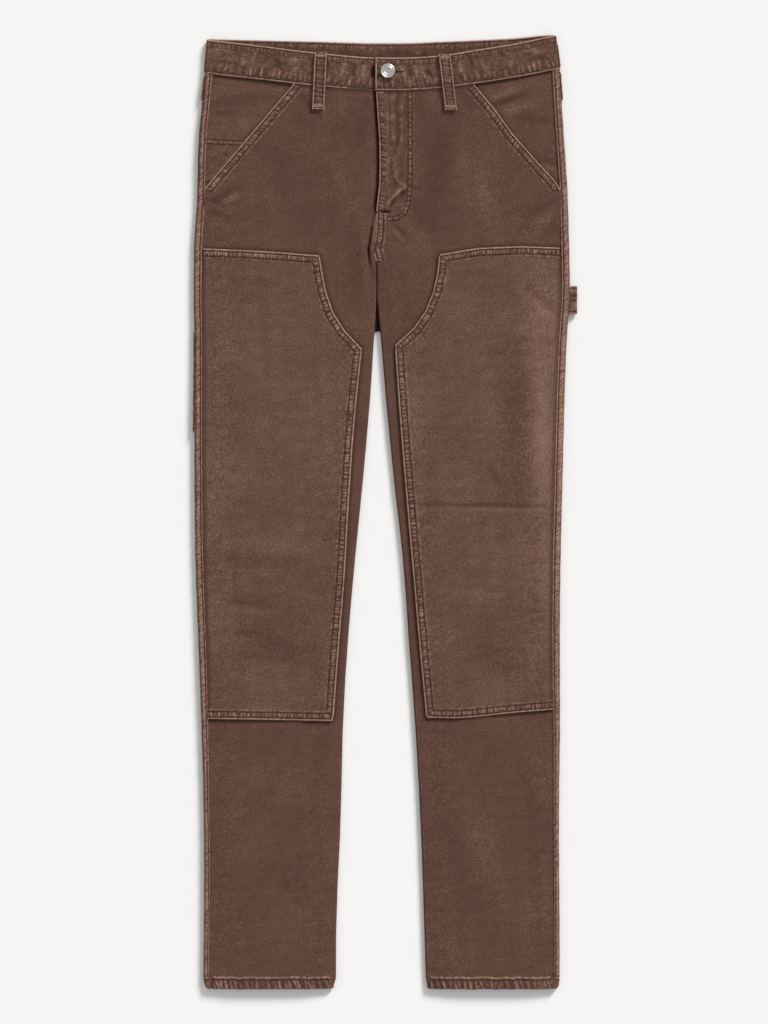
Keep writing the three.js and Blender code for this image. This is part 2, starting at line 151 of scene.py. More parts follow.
# Edges of the waistband across the garment
WAIST = table("x front_top front_seam back_top", [
    [-212, 1073.6, 1036.6, 1074.4],
    [-198, 1072.2, 1034.4, 1074.0],
    [-144, 1066.0, 1028.0, 1072.6],
    [-80, 1058.0, 1020.8, 1071.2],
    [-14, 1052.6, 1015.8, 1069.4],
    [30, 1052.4, 1015.8, 1069.6],
    [64, 1054.8, 1018.4, 1071.0],
    [101, 1060.6, 1022.8, 1072.6],
    [150, 1068.6, 1030.6, 1075.2],
    [184, 1075.6, 1037.2, 1078.4],
    [200, 1078.0, 1041.0, 1078.6],
])
waist_x = WAIST.pop("x") + CENTRE_X
front_top, front_seam, back_top = (curve(waist_x, up) for up in WAIST.values())


# Soft ridges and troughs, each laid between two places. reach is half their width, height is up or down.
CREASE_COLUMNS = "x up to_x to_up reach height"
FRONT_CREASES = table(CREASE_COLUMNS, [
    [64, 980, 56, 880, 15, -0.55], [84, 965, 78, 890, 10, 0.25],
    [-38, 856, -34, 768, 10, -0.46], [-25, 850, -22, 792, 7, 0.25],
    [44, 547, 192, 544.5, 2.4, -0.8], [46, 543, 190, 540, 3.4, 0.4],
    [173, 706, 176, 548, 11, 0.42], [140, 726, 147, 560, 17, -0.42],
    [160, 792, 200, 762, 5, -0.42], [156, 784, 196, 754, 5, 0.34],
    [116, 590, 126, 570, 4, -0.6],
    [-192, 891, -170, 905, 3.6, -0.8], [-199, 891, -184, 886, 3, -0.9],
    [-188, 886, -166, 896, 4, 0.8], [-200, 877, -176, 871, 4.4, -0.7],
    [-196, 866, -172, 878, 5, 0.4],
    [192, 890, 160, 872, 5, -0.6], [194, 880, 166, 856, 5, 0.4],
    [196, 868, 176, 846, 5, -0.4],
    [-100, 1012, -76, 988, 5, -0.7], [-86, 1014, -64, 984, 5, 0.5],
    [-112, 996, -84, 972, 6, -0.3],
    [-150, 396, -88, 372, 12, -0.38], [-178, 438, -130, 433, 3.5, -0.5],
    [-176, 428, -128, 423, 3.5, 0.4], [-180, 404, -132, 399, 4, -0.4],
    [-174, 374, -120, 376, 4.5, -0.21], [-180, 487, -90, 481, 7, -0.34],
    [-180, 500, -96, 496, 10, 0.25], [-120, 452, -60, 438, 6, 0.17],
    [96, 382, 152, 360, 14, -0.34], [60, 452, 124, 440, 10, 0.25],
    [150, 430, 186, 420, 6, -0.21],
    [-124, 124, -76, 94, 13, -0.38], [-104, 110, -60, 92, 8, 0.25],
    [-172, 232, -120, 252, 14, 0.25], [-186, 160, -140, 150, 8, 0.17],
    [90, 216, 132, 110, 14, 0.25], [66, 182, 100, 96, 12, -0.25],
    [150, 252, 178, 168, 10, -0.25], [-66, 302, -84, 198, 10, -0.25],
    [30, 884, 62, 848, 9, -0.34], [18, 872, 46, 836, 8, 0.25],
    [-60, 934, -28, 858, 13, 0.25], [-122, 942, -96, 858, 14, -0.25],
    [-22, 1002, -34, 948, 7, -0.34], [-50, 1010, -46, 980, 5, 0.25],
    [100, 932, 122, 860, 13, 0.25], [84, 1016, 96, 992, 5, -0.4],
    [36, 1012, 40, 980, 6, -0.4], [50, 1014, 60, 990, 5, 0.3],
    [-13.4, 876, -15.4, 856, 1.2, -1.6], [-15.2, 860, -19.4, 833, 1.2, -3.2],
    [-19.5, 838, -17.4, 818, 1.2, -3.0], [-17.2, 818, -12.0, 800, 2.6, -0.8],
    [-11.8, 870, -14.4, 836, 2.2, 0.8],
    [12, 862, 24, 848, 2.4, -0.6], [10, 856, 20, 844, 2.2, 0.5],
])

# Folds of the fly, finer than the rest of the front
FLY_CREASES = table(CREASE_COLUMNS, [
    [10, 936, 11.5, 919, 1.3, 0.6], [11.5, 919, 16, 911, 1.3, 0.9],
    [16, 911, 25, 906.4, 1.3, 1.0], [24.6, 905.6, 14.3, 899.4, 1.7, 1.2],
    [14.3, 899.4, 6.7, 890, 2.2, 1.3], [6.7, 890, 2.4, 883, 1.8, 1.2],
    [25, 902, 13.4, 892.6, 1.8, -1.3], [12.6, 892, 6, 883.6, 1.8, -1.5],
    [8, 924, 12.6, 906, 2.6, -0.5], [17, 888, 22, 880, 3.0, 0.8],
    [5, 877.8, -4.6, 878.8, 1.4, -1.8],
    [27, 906, 41, 902.6, 1.6, -0.7], [27, 909.6, 38, 909, 1.6, 0.4],
    [26, 900.6, 37, 897, 1.8, 0.4],
    [8, 1010, 9.6, 950, 2.2, 0.6], [14.4, 1010, 14, 940, 2.2, -0.6],
    [19.6, 1004, 18.4, 932, 2.4, 0.5], [23.4, 1006, 22.4, 950, 1.6, -0.4],
    [-1.6, 1010, -2.4, 900, 2.2, -0.4], [3.2, 1004, 3.6, 960, 1.6, 0.4],
    [2, 956, 3, 912, 1.8, 0.4],
])

FACING_CREASES = table(CREASE_COLUMNS, [
    [119, 996, 158, 1011, 3.4, -0.9], [118, 1004, 150, 1018, 4, 0.6],
    [126, 988, 166, 1000, 5, 0.5], [150, 982, 186, 980, 5, -0.5],
    [168, 938, 192, 934, 4, -0.5], [164, 930, 190, 926, 4, 0.4],
    [-196, 988, -168, 990, 4, -0.5], [-196, 1000, -130, 1006, 7, -0.5],
    [-190, 934, -170, 932, 3.5, -0.5], [-188, 926, -176, 924, 3, 0.4],
])

WAISTBAND_CREASES = table(CREASE_COLUMNS, [
    [42, 1035, 51, 1021, 1.4, 1.3], [51, 1021, 57.5, 1030, 1.4, 1.3], [47, 1038, 54, 1027, 2.2, -1],
    [16, 1044, 21, 1034, 1.8, 0.8], [21, 1036, 24, 1020, 1.8, 0.9], [26, 1042, 30, 1024, 2.4, -0.9],
    [34, 1046, 36, 1024, 2, 0.7], [8, 1030, 8, 1018, 2.4, 0.7], [32, 1050, 40, 1043, 2.2, 0.6],
    [84, 1042, 90, 1026, 2.6, 0.8], [94, 1054, 100, 1040, 2.6, -0.7], [110, 1046, 116, 1030, 2.4, 0.7],
    [128, 1056, 140, 1050, 2.4, -0.6], [142, 1050, 140, 1036, 2.4, 0.6], [160, 1062, 176, 1058, 3, 0.5],
    [168, 1050, 190, 1050, 3, -0.6], [-66, 1046, -76, 1024, 3, -0.9], [-92, 1052, -110, 1048, 2.6, 0.7],
    [-100, 1040, -110, 1028, 2.6, 0.8], [-122, 1050, -118, 1034, 3, -0.8],
    [-146, 1060, -151, 1046, 1.8, 0.8], [-170, 1044, -192, 1047, 3, -0.8],
    [-176, 1060, -196, 1064, 3, 0.6], [-160, 1050, -164, 1036, 2.4, 0.6],
    [-46, 1046, -52, 1024, 2.4, 0.9], [-34, 1042, -40, 1022, 2.4, -0.8],
    [-24, 1048, -26, 1022, 2.2, 0.7], [-16, 1044, -16, 1022, 2.2, -0.6],
])

# Where the cloth has worn pale or kept its dye, and painted light along the outer side of the left leg, which
# faces the lamp
WEAR_AND_PAINTED_LIGHT = table("x up reach_x reach_up tone", [
    [184, 650, 20, 110, 0.34], [178, 770, 20, 60, 0.22], [180, 480, 20, 80, 0.16],
    [120, 640, 40, 120, 0.06], [-110, 640, 50, 100, 0.04], [-190, 560, 12, 160, 0.12],
    [-60, 930, 40, 50, -0.1], [-90, 420, 70, 90, -0.1], [90, 420, 50, 40, -0.06],
    [28, 640, 14, 150, 0.12], [60, 930, 26, 60, -0.06], [110, 900, 30, 40, 0.06],
    [-120, 900, 40, 30, 0.06], [150, 1000, 30, 20, -0.06],
])


def rows_of(columns):
    """Each row of a table as a dict."""
    for values in zip(*columns.values()):
        yield dict(zip(columns, values))


def crease_height(creases, x, up):
    """Sum of the soft ridges and troughs at plan points, tapered at both ends."""
    total = np.zeros(np.broadcast(x, up).shape)
    for row in rows_of(creases):
        along = np.array([row["to_x"] - row["x"], row["to_up"] - row["up"]])
        share = ((x - row["x"]) * along[0] + (up - row["up"]) * along[1]) / (along @ along)
        share = np.clip(share, 0, 1)
        away = np.hypot(x - row["x"] - along[0] * share, up - row["up"] - along[1] * share)
        taper = 0.45 + 0.55 * np.sin(share * math.pi)
        total += row["height"] * taper * bell(away, row["reach"])
    return total


def wear_and_painted_light(x, up):
    total = np.zeros(np.broadcast(x, up).shape)
    for row in rows_of(WEAR_AND_PAINTED_LIGHT):
        total += row["tone"] * bell(x - row["x"], row["reach_x"]) * bell(up - row["up"], row["reach_up"])
    return total


def waves(seed, shortest, longest, count):
    """A smooth uneven field of unit size, as a sum of plane waves."""
    draw = np.random.default_rng(seed)
    length = np.exp(draw.uniform(math.log(shortest), math.log(longest), count))
    heading = draw.uniform(0, math.tau, count)
    phase = draw.uniform(0, math.tau, count)
    weight = np.sqrt(length / longest)
    weight = weight / np.sqrt((weight ** 2).sum() / 2)

    def field(x, y):
        total = np.zeros(np.broadcast(x, y).shape)
        for k, h, p, w in zip(math.tau / length, heading, phase, weight):
            total += w * np.sin(k * (x * math.cos(h) + y * math.sin(h)) + p)
        return total

    return field


soft_waves = waves(3, 22, 90, 26)
small_waves = waves(5, 7, 20, 30)
fine_waves = waves(15, 3.2, 7, 30)
tone_waves = waves(9, 25, 120, 24)


def cloth_relief(x, up):
    """Unevenness of washed cloth that nothing holds down."""
    return 0.06 * soft_waves(x, up) + 0.035 * small_waves(x, up)


def cloth_tone(x, up):
    # Uneven dye, and the worn places and painted light of the wear table
    return 0.018 * tone_waves(x, up) + 0.02 * small_waves(x * 0.6, up) + 0.5 * wear_and_painted_light(x, up)


def distance_to(path, x, up):
    """How far plan points are from a path, given closely spaced points along it."""
    nearest = np.full(x.shape, 1e9)
    for px, pu in path:
        np.minimum(nearest, (x - px) ** 2 + (up - pu) ** 2, out=nearest)
    return np.sqrt(nearest)


# Shapes read from the solids

class Ground:
    """The top of a patch or solid, for what is laid on it."""

    def __init__(self, points, faces):
        self.tree = BVHTree.FromPolygons(points.tolist(), faces)

    def __call__(self, x, up):
        x, up = np.broadcast_arrays(x, up)
        z = np.empty(x.size)
        down = Vector((0, 0, -1))
        for i, (px, py) in enumerate(zip(x.ravel(), up.ravel())):
            hit = self.tree.ray_cast(Vector((px, py, 60)), down)[0]
            if hit is None:
                hit = self.tree.find_nearest(Vector((px, py, 8)))[0]
            z[i] = hit.z
        return z.reshape(x.shape)


class Solid:
    """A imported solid: its edges seen from above, and the height of its top."""

    def __init__(self, name):
        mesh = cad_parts[name].data
        self.points = np.array([v.co for v in mesh.vertices]) / MM
        self.points[:, 1] -= HEM_Y
        self.low, self.high = self.points.min(0), self.points.max(0)
        self.top = Ground(self.points, [tuple(p.vertices) for p in mesh.polygons])
        self.edges = np.array([tuple(e.vertices) for e in mesh.edges])
        self.by_up = self.extents(1)
        self.by_x = self.extents(0)

    def extents(self, axis):
        a, b = self.points[self.edges[:, 0]], self.points[self.edges[:, 1]]
        low, high = self.low[axis] + 0.02, self.high[axis] - 0.02
        at = np.linspace(low, high, int(high - low) + 2)
        found = []
        for value in at:
            crossing = (a[:, axis] - value) * (b[:, axis] - value) < 0
            p, q = a[crossing], b[crossing]
            t = (value - p[:, axis]) / (q[:, axis] - p[:, axis])
            other = mix(p[:, 1 - axis], q[:, 1 - axis], t)
            found.append((other.min(), other.max()))
        found = np.array(found)
        return at, found[:, 0], found[:, 1]

    def x_edge(self, up, sign):
        at, low, high = self.by_up
        return np.interp(up, at, high if sign > 0 else low)

    def up_edge(self, x, sign):
        at, low, high = self.by_x
        return np.interp(x, at, high if sign > 0 else low)

    def side_path(self, sign, start, end, step=2.0):
        at = np.linspace(start, end, max(3, int(abs(end - start) / step)))
        return np.stack([self.x_edge(at, sign), at], 1)

    def level_path(self, sign, start, end, step=2.0):
        at = np.linspace(start, end, max(3, int(abs(end - start) / step)))
        return np.stack([at, self.up_edge(at, sign)], 1)


def smoothed(grid, rounds, axis):
    for _ in range(rounds):
        inner = [slice(None)] * grid.ndim
        inner[axis] = slice(1, -1)
        inner = tuple(inner)
        before, after = np.roll(grid, 1, axis), np.roll(grid, -1, axis)
        grid = grid.copy()
        grid[inner] = (before[inner] + 2 * grid[inner] + after[inner]) / 4
    return grid


# Patches of mesh, each a set of points with faces and a tone from dark, -1, to light, 1

class Patch:
    def __init__(self, points, faces, tone):
        self.points, self.faces, self.tone = points, faces, tone

    @classmethod
    def grid(cls, points, tone, facing=UP):
        """A grid of points as faces, most of which look the way of facing."""
        rows, columns = points.shape[:2]
        index = np.arange(rows * columns).reshape(rows, columns)
        corners = [index[:-1, :-1], index[:-1, 1:], index[1:, 1:], index[1:, :-1]]
        normal = np.cross(points[:-1, 1:] - points[:-1, :-1], points[1:, :-1] - points[:-1, :-1])
        turned = (normal @ facing).sum() < 0
        faces = np.stack(corners[::-1] if turned else corners, -1).reshape(-1, 4)
        tone = np.broadcast_to(tone, (rows, columns)).reshape(-1)
        return cls(points.reshape(-1, 3), faces, tone)

    @classmethod
    def lipped(cls, points, tone, thickness, facing=UP):
        """A grid whose four edges turn in by the cloth's thickness."""
        normal = np.cross(np.gradient(points, axis=1), np.gradient(points, axis=0))
        normal /= np.linalg.norm(normal, axis=2, keepdims=True)
        if (normal @ facing).sum() < 0:
            normal = -normal
        inner = points - normal * thickness
        tone = np.broadcast_to(tone, points.shape[:2])
        middle = points.mean((0, 1))
        rims = [
            (points[:, 0], inner[:, 0], tone[:, 0]), (points[:, -1], inner[:, -1], tone[:, -1]),
            (points[0], inner[0], tone[0]), (points[-1], inner[-1], tone[-1]),
        ]
        return joined([
            cls.grid(points, tone, facing),
            *[cls.grid(np.stack([a, b], 1), np.stack([t, t], 1), a.mean(0) - middle) for a, b, t in rims],
        ])

    def ground(self):
        return Ground(self.points, self.faces.tolist())


def joined(patches):
    start = 0
    faces = []
    for patch in patches:
        faces.append(patch.faces + start)
        start += len(patch.points)
    points = np.concatenate([p.points for p in patches])
    tone = np.concatenate([p.tone for p in patches])
    return Patch(points, np.concatenate(faces), tone)


def piece(name, patches, material, nodes=()):
    """One object from its patches, riding on the garment and standing for its solids."""
    patch = joined(patches)
    mesh = bpy.data.meshes.new(name)
    points = patch.points.copy()
    points[:, 1] += HEM_Y
    mesh.from_pydata((points * MM).tolist(), [], patch.faces.tolist())
    mesh.shade_smooth()
    tone = mesh.attributes.new("tone", "FLOAT", "POINT")
    tone.data.foreach_set("value", patch.tone.astype(np.float32))
    mesh.materials.append(material)
    mesh.update()
    obj = bpy.data.objects.new(name, mesh)
    bpy.context.scene.collection.objects.link(obj)
    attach(obj, "root")
    if nodes:
        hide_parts(*nodes)


# Materials

def node(tree, kind, **values):
    made = tree.nodes.new(kind)
    for key, value in values.items():
        if key in made.inputs:
            made.inputs[key].default_value = value
        else:
            setattr(made, key, value)
    return made


def new_material(name, rough):
    material = bpy.data.materials.new(name)
    material.use_nodes = True
    shader = material.node_tree.nodes["Principled BSDF"]
    shader.inputs["Roughness"].default_value = rough
    return material, material.node_tree, shader


def texture(tree, kind, **values):
    """The output of a procedural texture that lies still on the object."""
    made = node(tree, kind, **values)
    place = node(tree, "ShaderNodeTexCoord")
    tree.links.new(place.outputs["Object"], made.inputs["Vector"])
    return made.outputs["Fac"]


def maths(tree, operation, *values):
    """The output of a sum on numbers and other nodes' outputs."""
    made = node(tree, "ShaderNodeMath", operation=operation)
    for socket, value in zip(made.inputs, values):
        if isinstance(value, float):
            socket.default_value = value
        else:
            tree.links.new(value, socket)
    return made.outputs[0]


def add_bump(tree, height, strength, depth):
    bump = node(tree, "ShaderNodeBump", Strength=strength, Distance=depth)
    tree.links.new(height, bump.inputs["Height"])
    tree.links.new(bump.outputs["Normal"], tree.nodes["Principled BSDF"].inputs["Normal"])


def canvas_material(name, colour, dark, light, rough=0.95):
    """Washed canvas: uneven dye and a grain of threads, lighter where it has rubbed, with painted light and
    shade from the mesh's tone, darker in the folds.
    """
    material, tree, shader = new_material(name, rough)
    shader.inputs["Specular IOR Level"].default_value = 0.15
    link = tree.links.new
    grain = texture(tree, "ShaderNodeTexNoise", Scale=620.0, Detail=2.0, Roughness=0.75)
    clouds = texture(tree, "ShaderNodeTexNoise", Scale=45.0, Detail=4.0, Roughness=0.6)
    blotches = texture(tree, "ShaderNodeTexNoise", Scale=210.0, Detail=3.0, Roughness=0.7)
    level = node(tree, "ShaderNodeAttribute", attribute_name="tone").outputs["Fac"]
    for uneven, amount in ((clouds, 0.12), (blotches, 0.22), (grain, 1.25)):
        level = maths(tree, "ADD", maths(tree, "MULTIPLY_ADD", uneven, amount, -0.5 * amount), level)
    ramp = node(tree, "ShaderNodeMapRange")
    ramp.inputs["From Min"].default_value = -1
    ramp.inputs["From Max"].default_value = 1
    link(level, ramp.inputs["Value"])
    colours = node(tree, "ShaderNodeValToRGB")
    stops = colours.color_ramp.elements
    stops[0].color = (*dark, 1)
    stops[1].color = (*light, 1)
    middle = stops.new(0.5)
    middle.color = (*colour, 1)
    link(ramp.outputs["Result"], colours.inputs["Fac"])
    link(colours.outputs["Color"], shader.inputs["Base Color"])

    warp = texture(tree, "ShaderNodeTexWave", Scale=520.0, Distortion=1.2, Detail=1.0, bands_direction="X")
    weft = texture(tree, "ShaderNodeTexWave", Scale=480.0, Distortion=1.2, Detail=1.0, bands_direction="Y")
    weave = maths(tree, "MULTIPLY", warp, weft)
    add_bump(tree, maths(tree, "ADD", weave, grain), 0.6, 0.0004)
    return material


def plain_material(name, colour, rough, metal=0.0):
    material, tree, shader = new_material(name, rough)
    shader.inputs["Base Color"].default_value = (*colour, 1)
    shader.inputs["Metallic"].default_value = metal
    add_bump(tree, texture(tree, "ShaderNodeTexNoise", Scale=600.0, Detail=3.0), 0.5, 0.0001)
    return material


CANVAS = canvas_material("canvas", (0.118, 0.058, 0.041), (0.02, 0.008, 0.005), (0.43, 0.27, 0.2))
THREAD = canvas_material("thread", (0.06, 0.03, 0.021), (0.012, 0.005, 0.003), (0.42, 0.27, 0.2), rough=0.7)
METAL = plain_material("button_metal", (0.62, 0.59, 0.56), 0.36, metal=1.0)


def dress(name, patches):
    """The canvas that stands for one solid."""
    piece(f"{name}_cloth", patches, CANVAS, [name])


# Stitches and seam bands

STITCHES = []
STITCH_RINGS = table("at size", [[-0.5, 0.25], [-0.32, 0.85], [0, 1], [0.32, 0.85], [0.5, 0.25]])
random = np.random.default_rng(7)


def resampled(path, step):
    path = np.asarray(path, float)
    gaps = np.hypot(*np.diff(path, axis=0).T)
    along = np.concatenate([[0], np.cumsum(gaps)])
    at = np.linspace(0, along[-1], max(2, int(along[-1] / step) + 1))
    return np.stack([np.interp(at, along, path[:, i]) for i in (0, 1)], 1), at


def path_frame(path):
    """Unit directions along a path and to its left."""
    ahead = np.gradient(path, axis=0)
    ahead /= np.linalg.norm(ahead, axis=1, keepdims=True)
    return ahead, np.stack([-ahead[:, 1], ahead[:, 0]], 1)


def add_stitches(path, ground, lift=0.1, pitch=STITCH_PITCH, length=STITCH_LENGTH, width=STITCH_WIDTH,
                 tone=0.1):
    """A row of single stitches along a path, each a small pointed bead of thread."""
    centres, _ = resampled(path, pitch)
    if len(centres) < 3:
        return
    ahead, left = path_frame(centres)
    turn = random.normal(0, 0.05, (len(centres), 1))
    ahead, left = ahead * np.cos(turn) + left * np.sin(turn), left * np.cos(turn) - ahead * np.sin(turn)
    z = ground(centres[:, 0], centres[:, 1]) + lift
    sides = 5
    around = np.arange(sides) / sides * math.tau
    local = np.array([
        [at * length, math.cos(a) * size * width / 2, math.sin(a) * size * width * 0.36 - abs(at) * 0.25]
        for at, size in zip(STITCH_RINGS["at"], STITCH_RINGS["size"]) for a in around
    ])
    flat = ((0, 0), (0, 1))
    points = (
        np.concatenate([centres, z[:, None]], 1)[:, None]
        + local[None, :, :1] * np.pad(ahead, flat)[:, None]
        + local[None, :, 1:2] * np.pad(left, flat)[:, None]
        + local[None, :, 2:] * UP
    )
    faces = []
    for ring in range(len(STITCH_RINGS["at"]) - 1):
        for side in range(sides):
            a, b = ring * sides + side, ring * sides + (side + 1) % sides
            faces.append((a, a + sides, b + sides, b))
    starts = np.arange(len(centres)) * len(local)
    faces = (np.array(faces)[None] + starts[:, None, None]).reshape(-1, 4)
    tones = np.repeat(tone + random.uniform(-0.3, 0.35, len(centres)), len(local))
    STITCHES.append(Patch(points.reshape(-1, 3), faces, tones))


def sew(name):
    """One object of the stitches made so far."""
    piece(name, STITCHES, THREAD)
    STITCHES.clear()


def bar_tack(x, up, length, ground, heading=0.0, width=1.9, tone=0.9):
    """A dense bar of thread across the end of a loop or pocket."""
    along = np.array([math.cos(heading), math.sin(heading)])
    across = np.array([-along[1], along[0]]) * width / 2
    for shift in np.linspace(-0.5, 0.5, int(length / 0.45)) * length:
        middle = np.array([x, up]) + along * shift
        line = [middle - across, middle, middle + across]
        add_stitches(line, ground, lift=0.3, pitch=width / 2, length=width * 0.62, width=0.55, tone=tone)


# Cross-sections of sewn bands: in is the distance from the fold, tone the lightness, pucker how far the
# drawn-up bars reach. The tone is partly painted light: the fold's edge is pale, partly rubbed and partly a
# painted highlight, the stitch channels hold painted shade, and a painted shadow lies where the cloth drops
# beyond the fold
BAND_COLUMNS = "in lift tone pucker"
DOUBLE_BAND = table(BAND_COLUMNS, [
    [-0.10, -1.7, -0.7, 0], [-0.35, -0.8, -0.2, 0], [-0.20, 0.0, 0.3, 0],
    [0.3, 0.42, 0.72, 0.1], [0.95, 0.48, 0.74, 0.3], [1.5, 0.3, 0.3, 0.2],
    [1.95, -0.02, -0.5, 0.1], [2.45, 0.0, -0.45, 0.2], [3.0, 0.25, -0.05, 0.8],
    [3.8, 0.42, 0.08, 1], [4.8, 0.5, 0.12, 1], [5.8, 0.48, 0.12, 1],
    [6.8, 0.4, 0.06, 1], [7.6, 0.2, -0.1, 0.8], [8.1, -0.02, -0.5, 0.2],
    [8.7, -0.02, -0.5, 0.1], [9.3, 0.2, 0.05, 0.1], [10.1, 0.28, 0.2, 0.1],
    [11.2, 0.14, 0.12, 0.1], [12.6, -0.25, 0.0, 0],
])
EDGE_BAND = table(BAND_COLUMNS, [
    [-0.10, -1.7, -0.7, 0], [-0.35, -0.8, -0.2, 0], [-0.20, 0.0, 0.3, 0],
    [0.3, 0.38, 0.9, 0.1], [0.95, 0.42, 0.85, 0.3], [1.5, 0.2, 0.35, 0.2],
    [1.95, -0.02, -0.5, 0.1], [2.45, 0.0, -0.4, 0.2], [3.1, 0.25, 0.0, 0.9],
    [4.2, 0.35, 0.0, 1], [5.6, 0.35, 0.0, 0.9], [7.0, 0.25, 0.0, 0.6],
    [8.4, 0.1, 0.0, 0.3], [9.8, -0.25, 0.0, 0],
])
PUCKERED_BAND = table(BAND_COLUMNS, [
    [-0.10, -1.7, -0.8, 0], [-0.35, -0.8, -0.3, 0], [-0.20, 0.0, 0.2, 0],
    [0.3, 0.4, 0.6, 0.2], [0.95, 0.45, 0.55, 0.3], [1.5, 0.2, 0.1, 0.2],
    [1.95, -0.1, -0.75, 0.1], [2.5, -0.05, -0.6, 0.2], [3.2, 0.2, -0.1, 0.8],
    [4.4, 0.3, -0.04, 1], [5.8, 0.35, -0.02, 1], [7.4, 0.35, 0.0, 1],
    [9.0, 0.3, 0.0, 0.9], [10.8, 0.25, 0.0, 0.7], [12.6, 0.15, 0.0, 0.45],
    [14.6, 0.05, 0.0, 0.2], [17.0, -0.25, 0.0, 0],
])
HEM_BAND = table(BAND_COLUMNS, [
    [-0.3, -2.8, -0.6, 0], [-0.75, -1.5, -0.1, 0], [-0.6, -0.5, 0.1, 0.3],
    [0.1, 0.15, 0.3, 0.8], [1.2, 0.42, 0.1, 1], [2.8, 0.5, 0.0, 1],
    [4.4, 0.5, 0.0, 1], [6.0, 0.46, 0.0, 1], [7.6, 0.4, -0.05, 1],
    [8.8, 0.25, -0.15, 0.7], [9.6, 0.0, -0.7, 0.2], [10.3, 0.0, -0.65, 0.1],
    [11.0, 0.25, 0.2, 0.2], [12.0, 0.4, 0.5, 0.4], [13.0, 0.2, 0.25, 0.2],
    [14.4, -0.3, 0.0, 0],
])
ROW_BAND = table(BAND_COLUMNS, [
    [-2.4, -0.25, 0.0, 0], [-1.3, 0.05, 0.0, 0.1], [-0.6, 0.0, -0.4, 0.1],
    [0.0, -0.05, -0.6, 0.1], [0.7, 0.05, -0.3, 0.4], [1.5, 0.25, 0.05, 1],
    [2.4, 0.3, 0.12, 1], [3.3, 0.25, 0.05, 1], [4.0, 0.05, -0.3, 0.4],
    [4.7, -0.05, -0.6, 0.1], [5.3, 0.0, -0.35, 0.1], [6.0, 0.15, 0.15, 0.2],
    [7.2, -0.25, 0.0, 0],
])
SEAM_BAND = table(BAND_COLUMNS, [
    [-0.5, -0.5, -0.7, 0], [-0.1, 0.1, 0.1, 0], [0.35, 0.4, 0.5, 0.2],
    [0.9, 0.35, 0.5, 0.3], [1.4, 0.05, -0.1, 0.1], [1.9, 0.0, -0.4, 0.1],
    [2.5, 0.3, 0.25, 0.9], [3.3, 0.5, 0.42, 1], [4.2, 0.55, 0.45, 1],
    [5.1, 0.45, 0.42, 1], [5.9, 0.25, 0.2, 0.8], [6.6, 0.1, 0.1, 0.4],
])


def puckers(along, across, seed, spacing, slant):
    """Uneven bars of cloth that the sewing has drawn up, as a height from about -0.3 to 0.8."""
    draw = np.random.default_rng(seed)
    length = along.max() + 60
    centres = np.cumsum(draw.uniform(0.6, 1.5, int(length / spacing * 1.3) + 8) * spacing) - 30
    size = draw.uniform(0.45, 1.1, len(centres))
    width = draw.uniform(0.2, 0.31, len(centres)) * spacing
    lean = slant + draw.uniform(-0.12, 0.12, len(centres))
    height = np.zeros(np.broadcast(along, across).shape)
    near = np.clip(np.searchsorted(centres, along + slant * across), 1, len(centres) - 1)
    for i in (near - 1, near):
        height = np.maximum(height, size[i] * bell(along + lean[i] * across - centres[i], width[i]))
    return height - 0.3


def band(path, ground, section, seed, inward=1, trims=(0, 0), spacing=3.4, slant=0.0,
         rows=(EDGE_ROW, SECOND_ROW), widths=None, bars=0.4, shade=0.9):
    """A sewn band along a folded edge. Its rows of stitches lie in the channels beside the drawn-up bars."""
    path, along = resampled(path, RIBBON_STEP)
    _, left = path_frame(path)
    left = smoothed(left, 3, 0) * inward
    total = along[-1]
    stretch = np.ones(len(along)) if widths is None else widths(path) / section["in"][-1]

    def place(s, d):
        wide = np.where(d > 0, d * np.interp(s, along, stretch), d)
        return np.stack([
            np.interp(s, along, path[:, axis]) + np.interp(s, along, left[:, axis]) * wide for axis in (0, 1)
        ], -1)

    inside = section["in"][None]
    reach = np.maximum(inside, 0)
    at = mix(trims[0] * reach, total - trims[1] * reach, (along / total)[:, None])
    plan, base = place(at, inside), place(at, np.maximum(inside, 0.25))
    z = smoothed(ground(base[..., 0], base[..., 1]), 2, 0)
    bar = puckers(at, inside - 5, seed, spacing, slant) * section["pucker"]
    fade = 0.8 + 0.25 * np.sin(at / 17 + seed) * np.sin(at / 41 + 2 * seed)
    x, up = plan[..., 0], plan[..., 1]
    held = np.minimum(1, reach / 2 + 0.2) * (inside < inside.max() - 1)
    rough = (0.08 * fine_waves(x, up) + 0.03 * small_waves(x * 2, up * 2)) * held
    points = np.concatenate([plan, (z + section["lift"] + bars * fade * bar + rough)[..., None]], 2)
    rub = (0.08 * fine_waves(up, x) + 0.06 * small_waves(up * 1.5, x * 1.5)) * (section["lift"] > 0.1)
    # Painted light and shade: the tone is lighter on the drawn-up bars and darker between them, scaled by
    # shade
    patch = Patch.grid(points, section["tone"] + shade * fade * bar + rub + cloth_tone(x, up))
    sewn = patch.ground()
    for row in rows:
        start, end = trims[0] * row + 0.4, total - trims[1] * row - 0.4
        s = np.linspace(start, end, max(4, int((end - start) / 3)))
        add_stitches(place(s, np.full(s.shape, row)), sewn, width=0.95, tone=-0.65)
    return patch


# Legs

HEM_ROWS = np.linspace(0, 16, 17)
LEG_ROWS = np.linspace(16, 820, 270)[1:]
HIP_ROWS = np.linspace(820, WAIST_SEAM, 150)[1:]
PANEL_ROWS = np.concatenate([HEM_ROWS, LEG_ROWS, HIP_ROWS])[:, None]
UNDER_ROWS = np.sort(np.concatenate([PANEL_ROWS[::2, 0], [BACK_CROTCH - 0.4, BACK_CROTCH + 0.4]]))[:, None]
PANEL_SHARES = np.concatenate([np.linspace(0, 0.74, 52)[:-1], np.linspace(0.74, 1, 42)])[None]


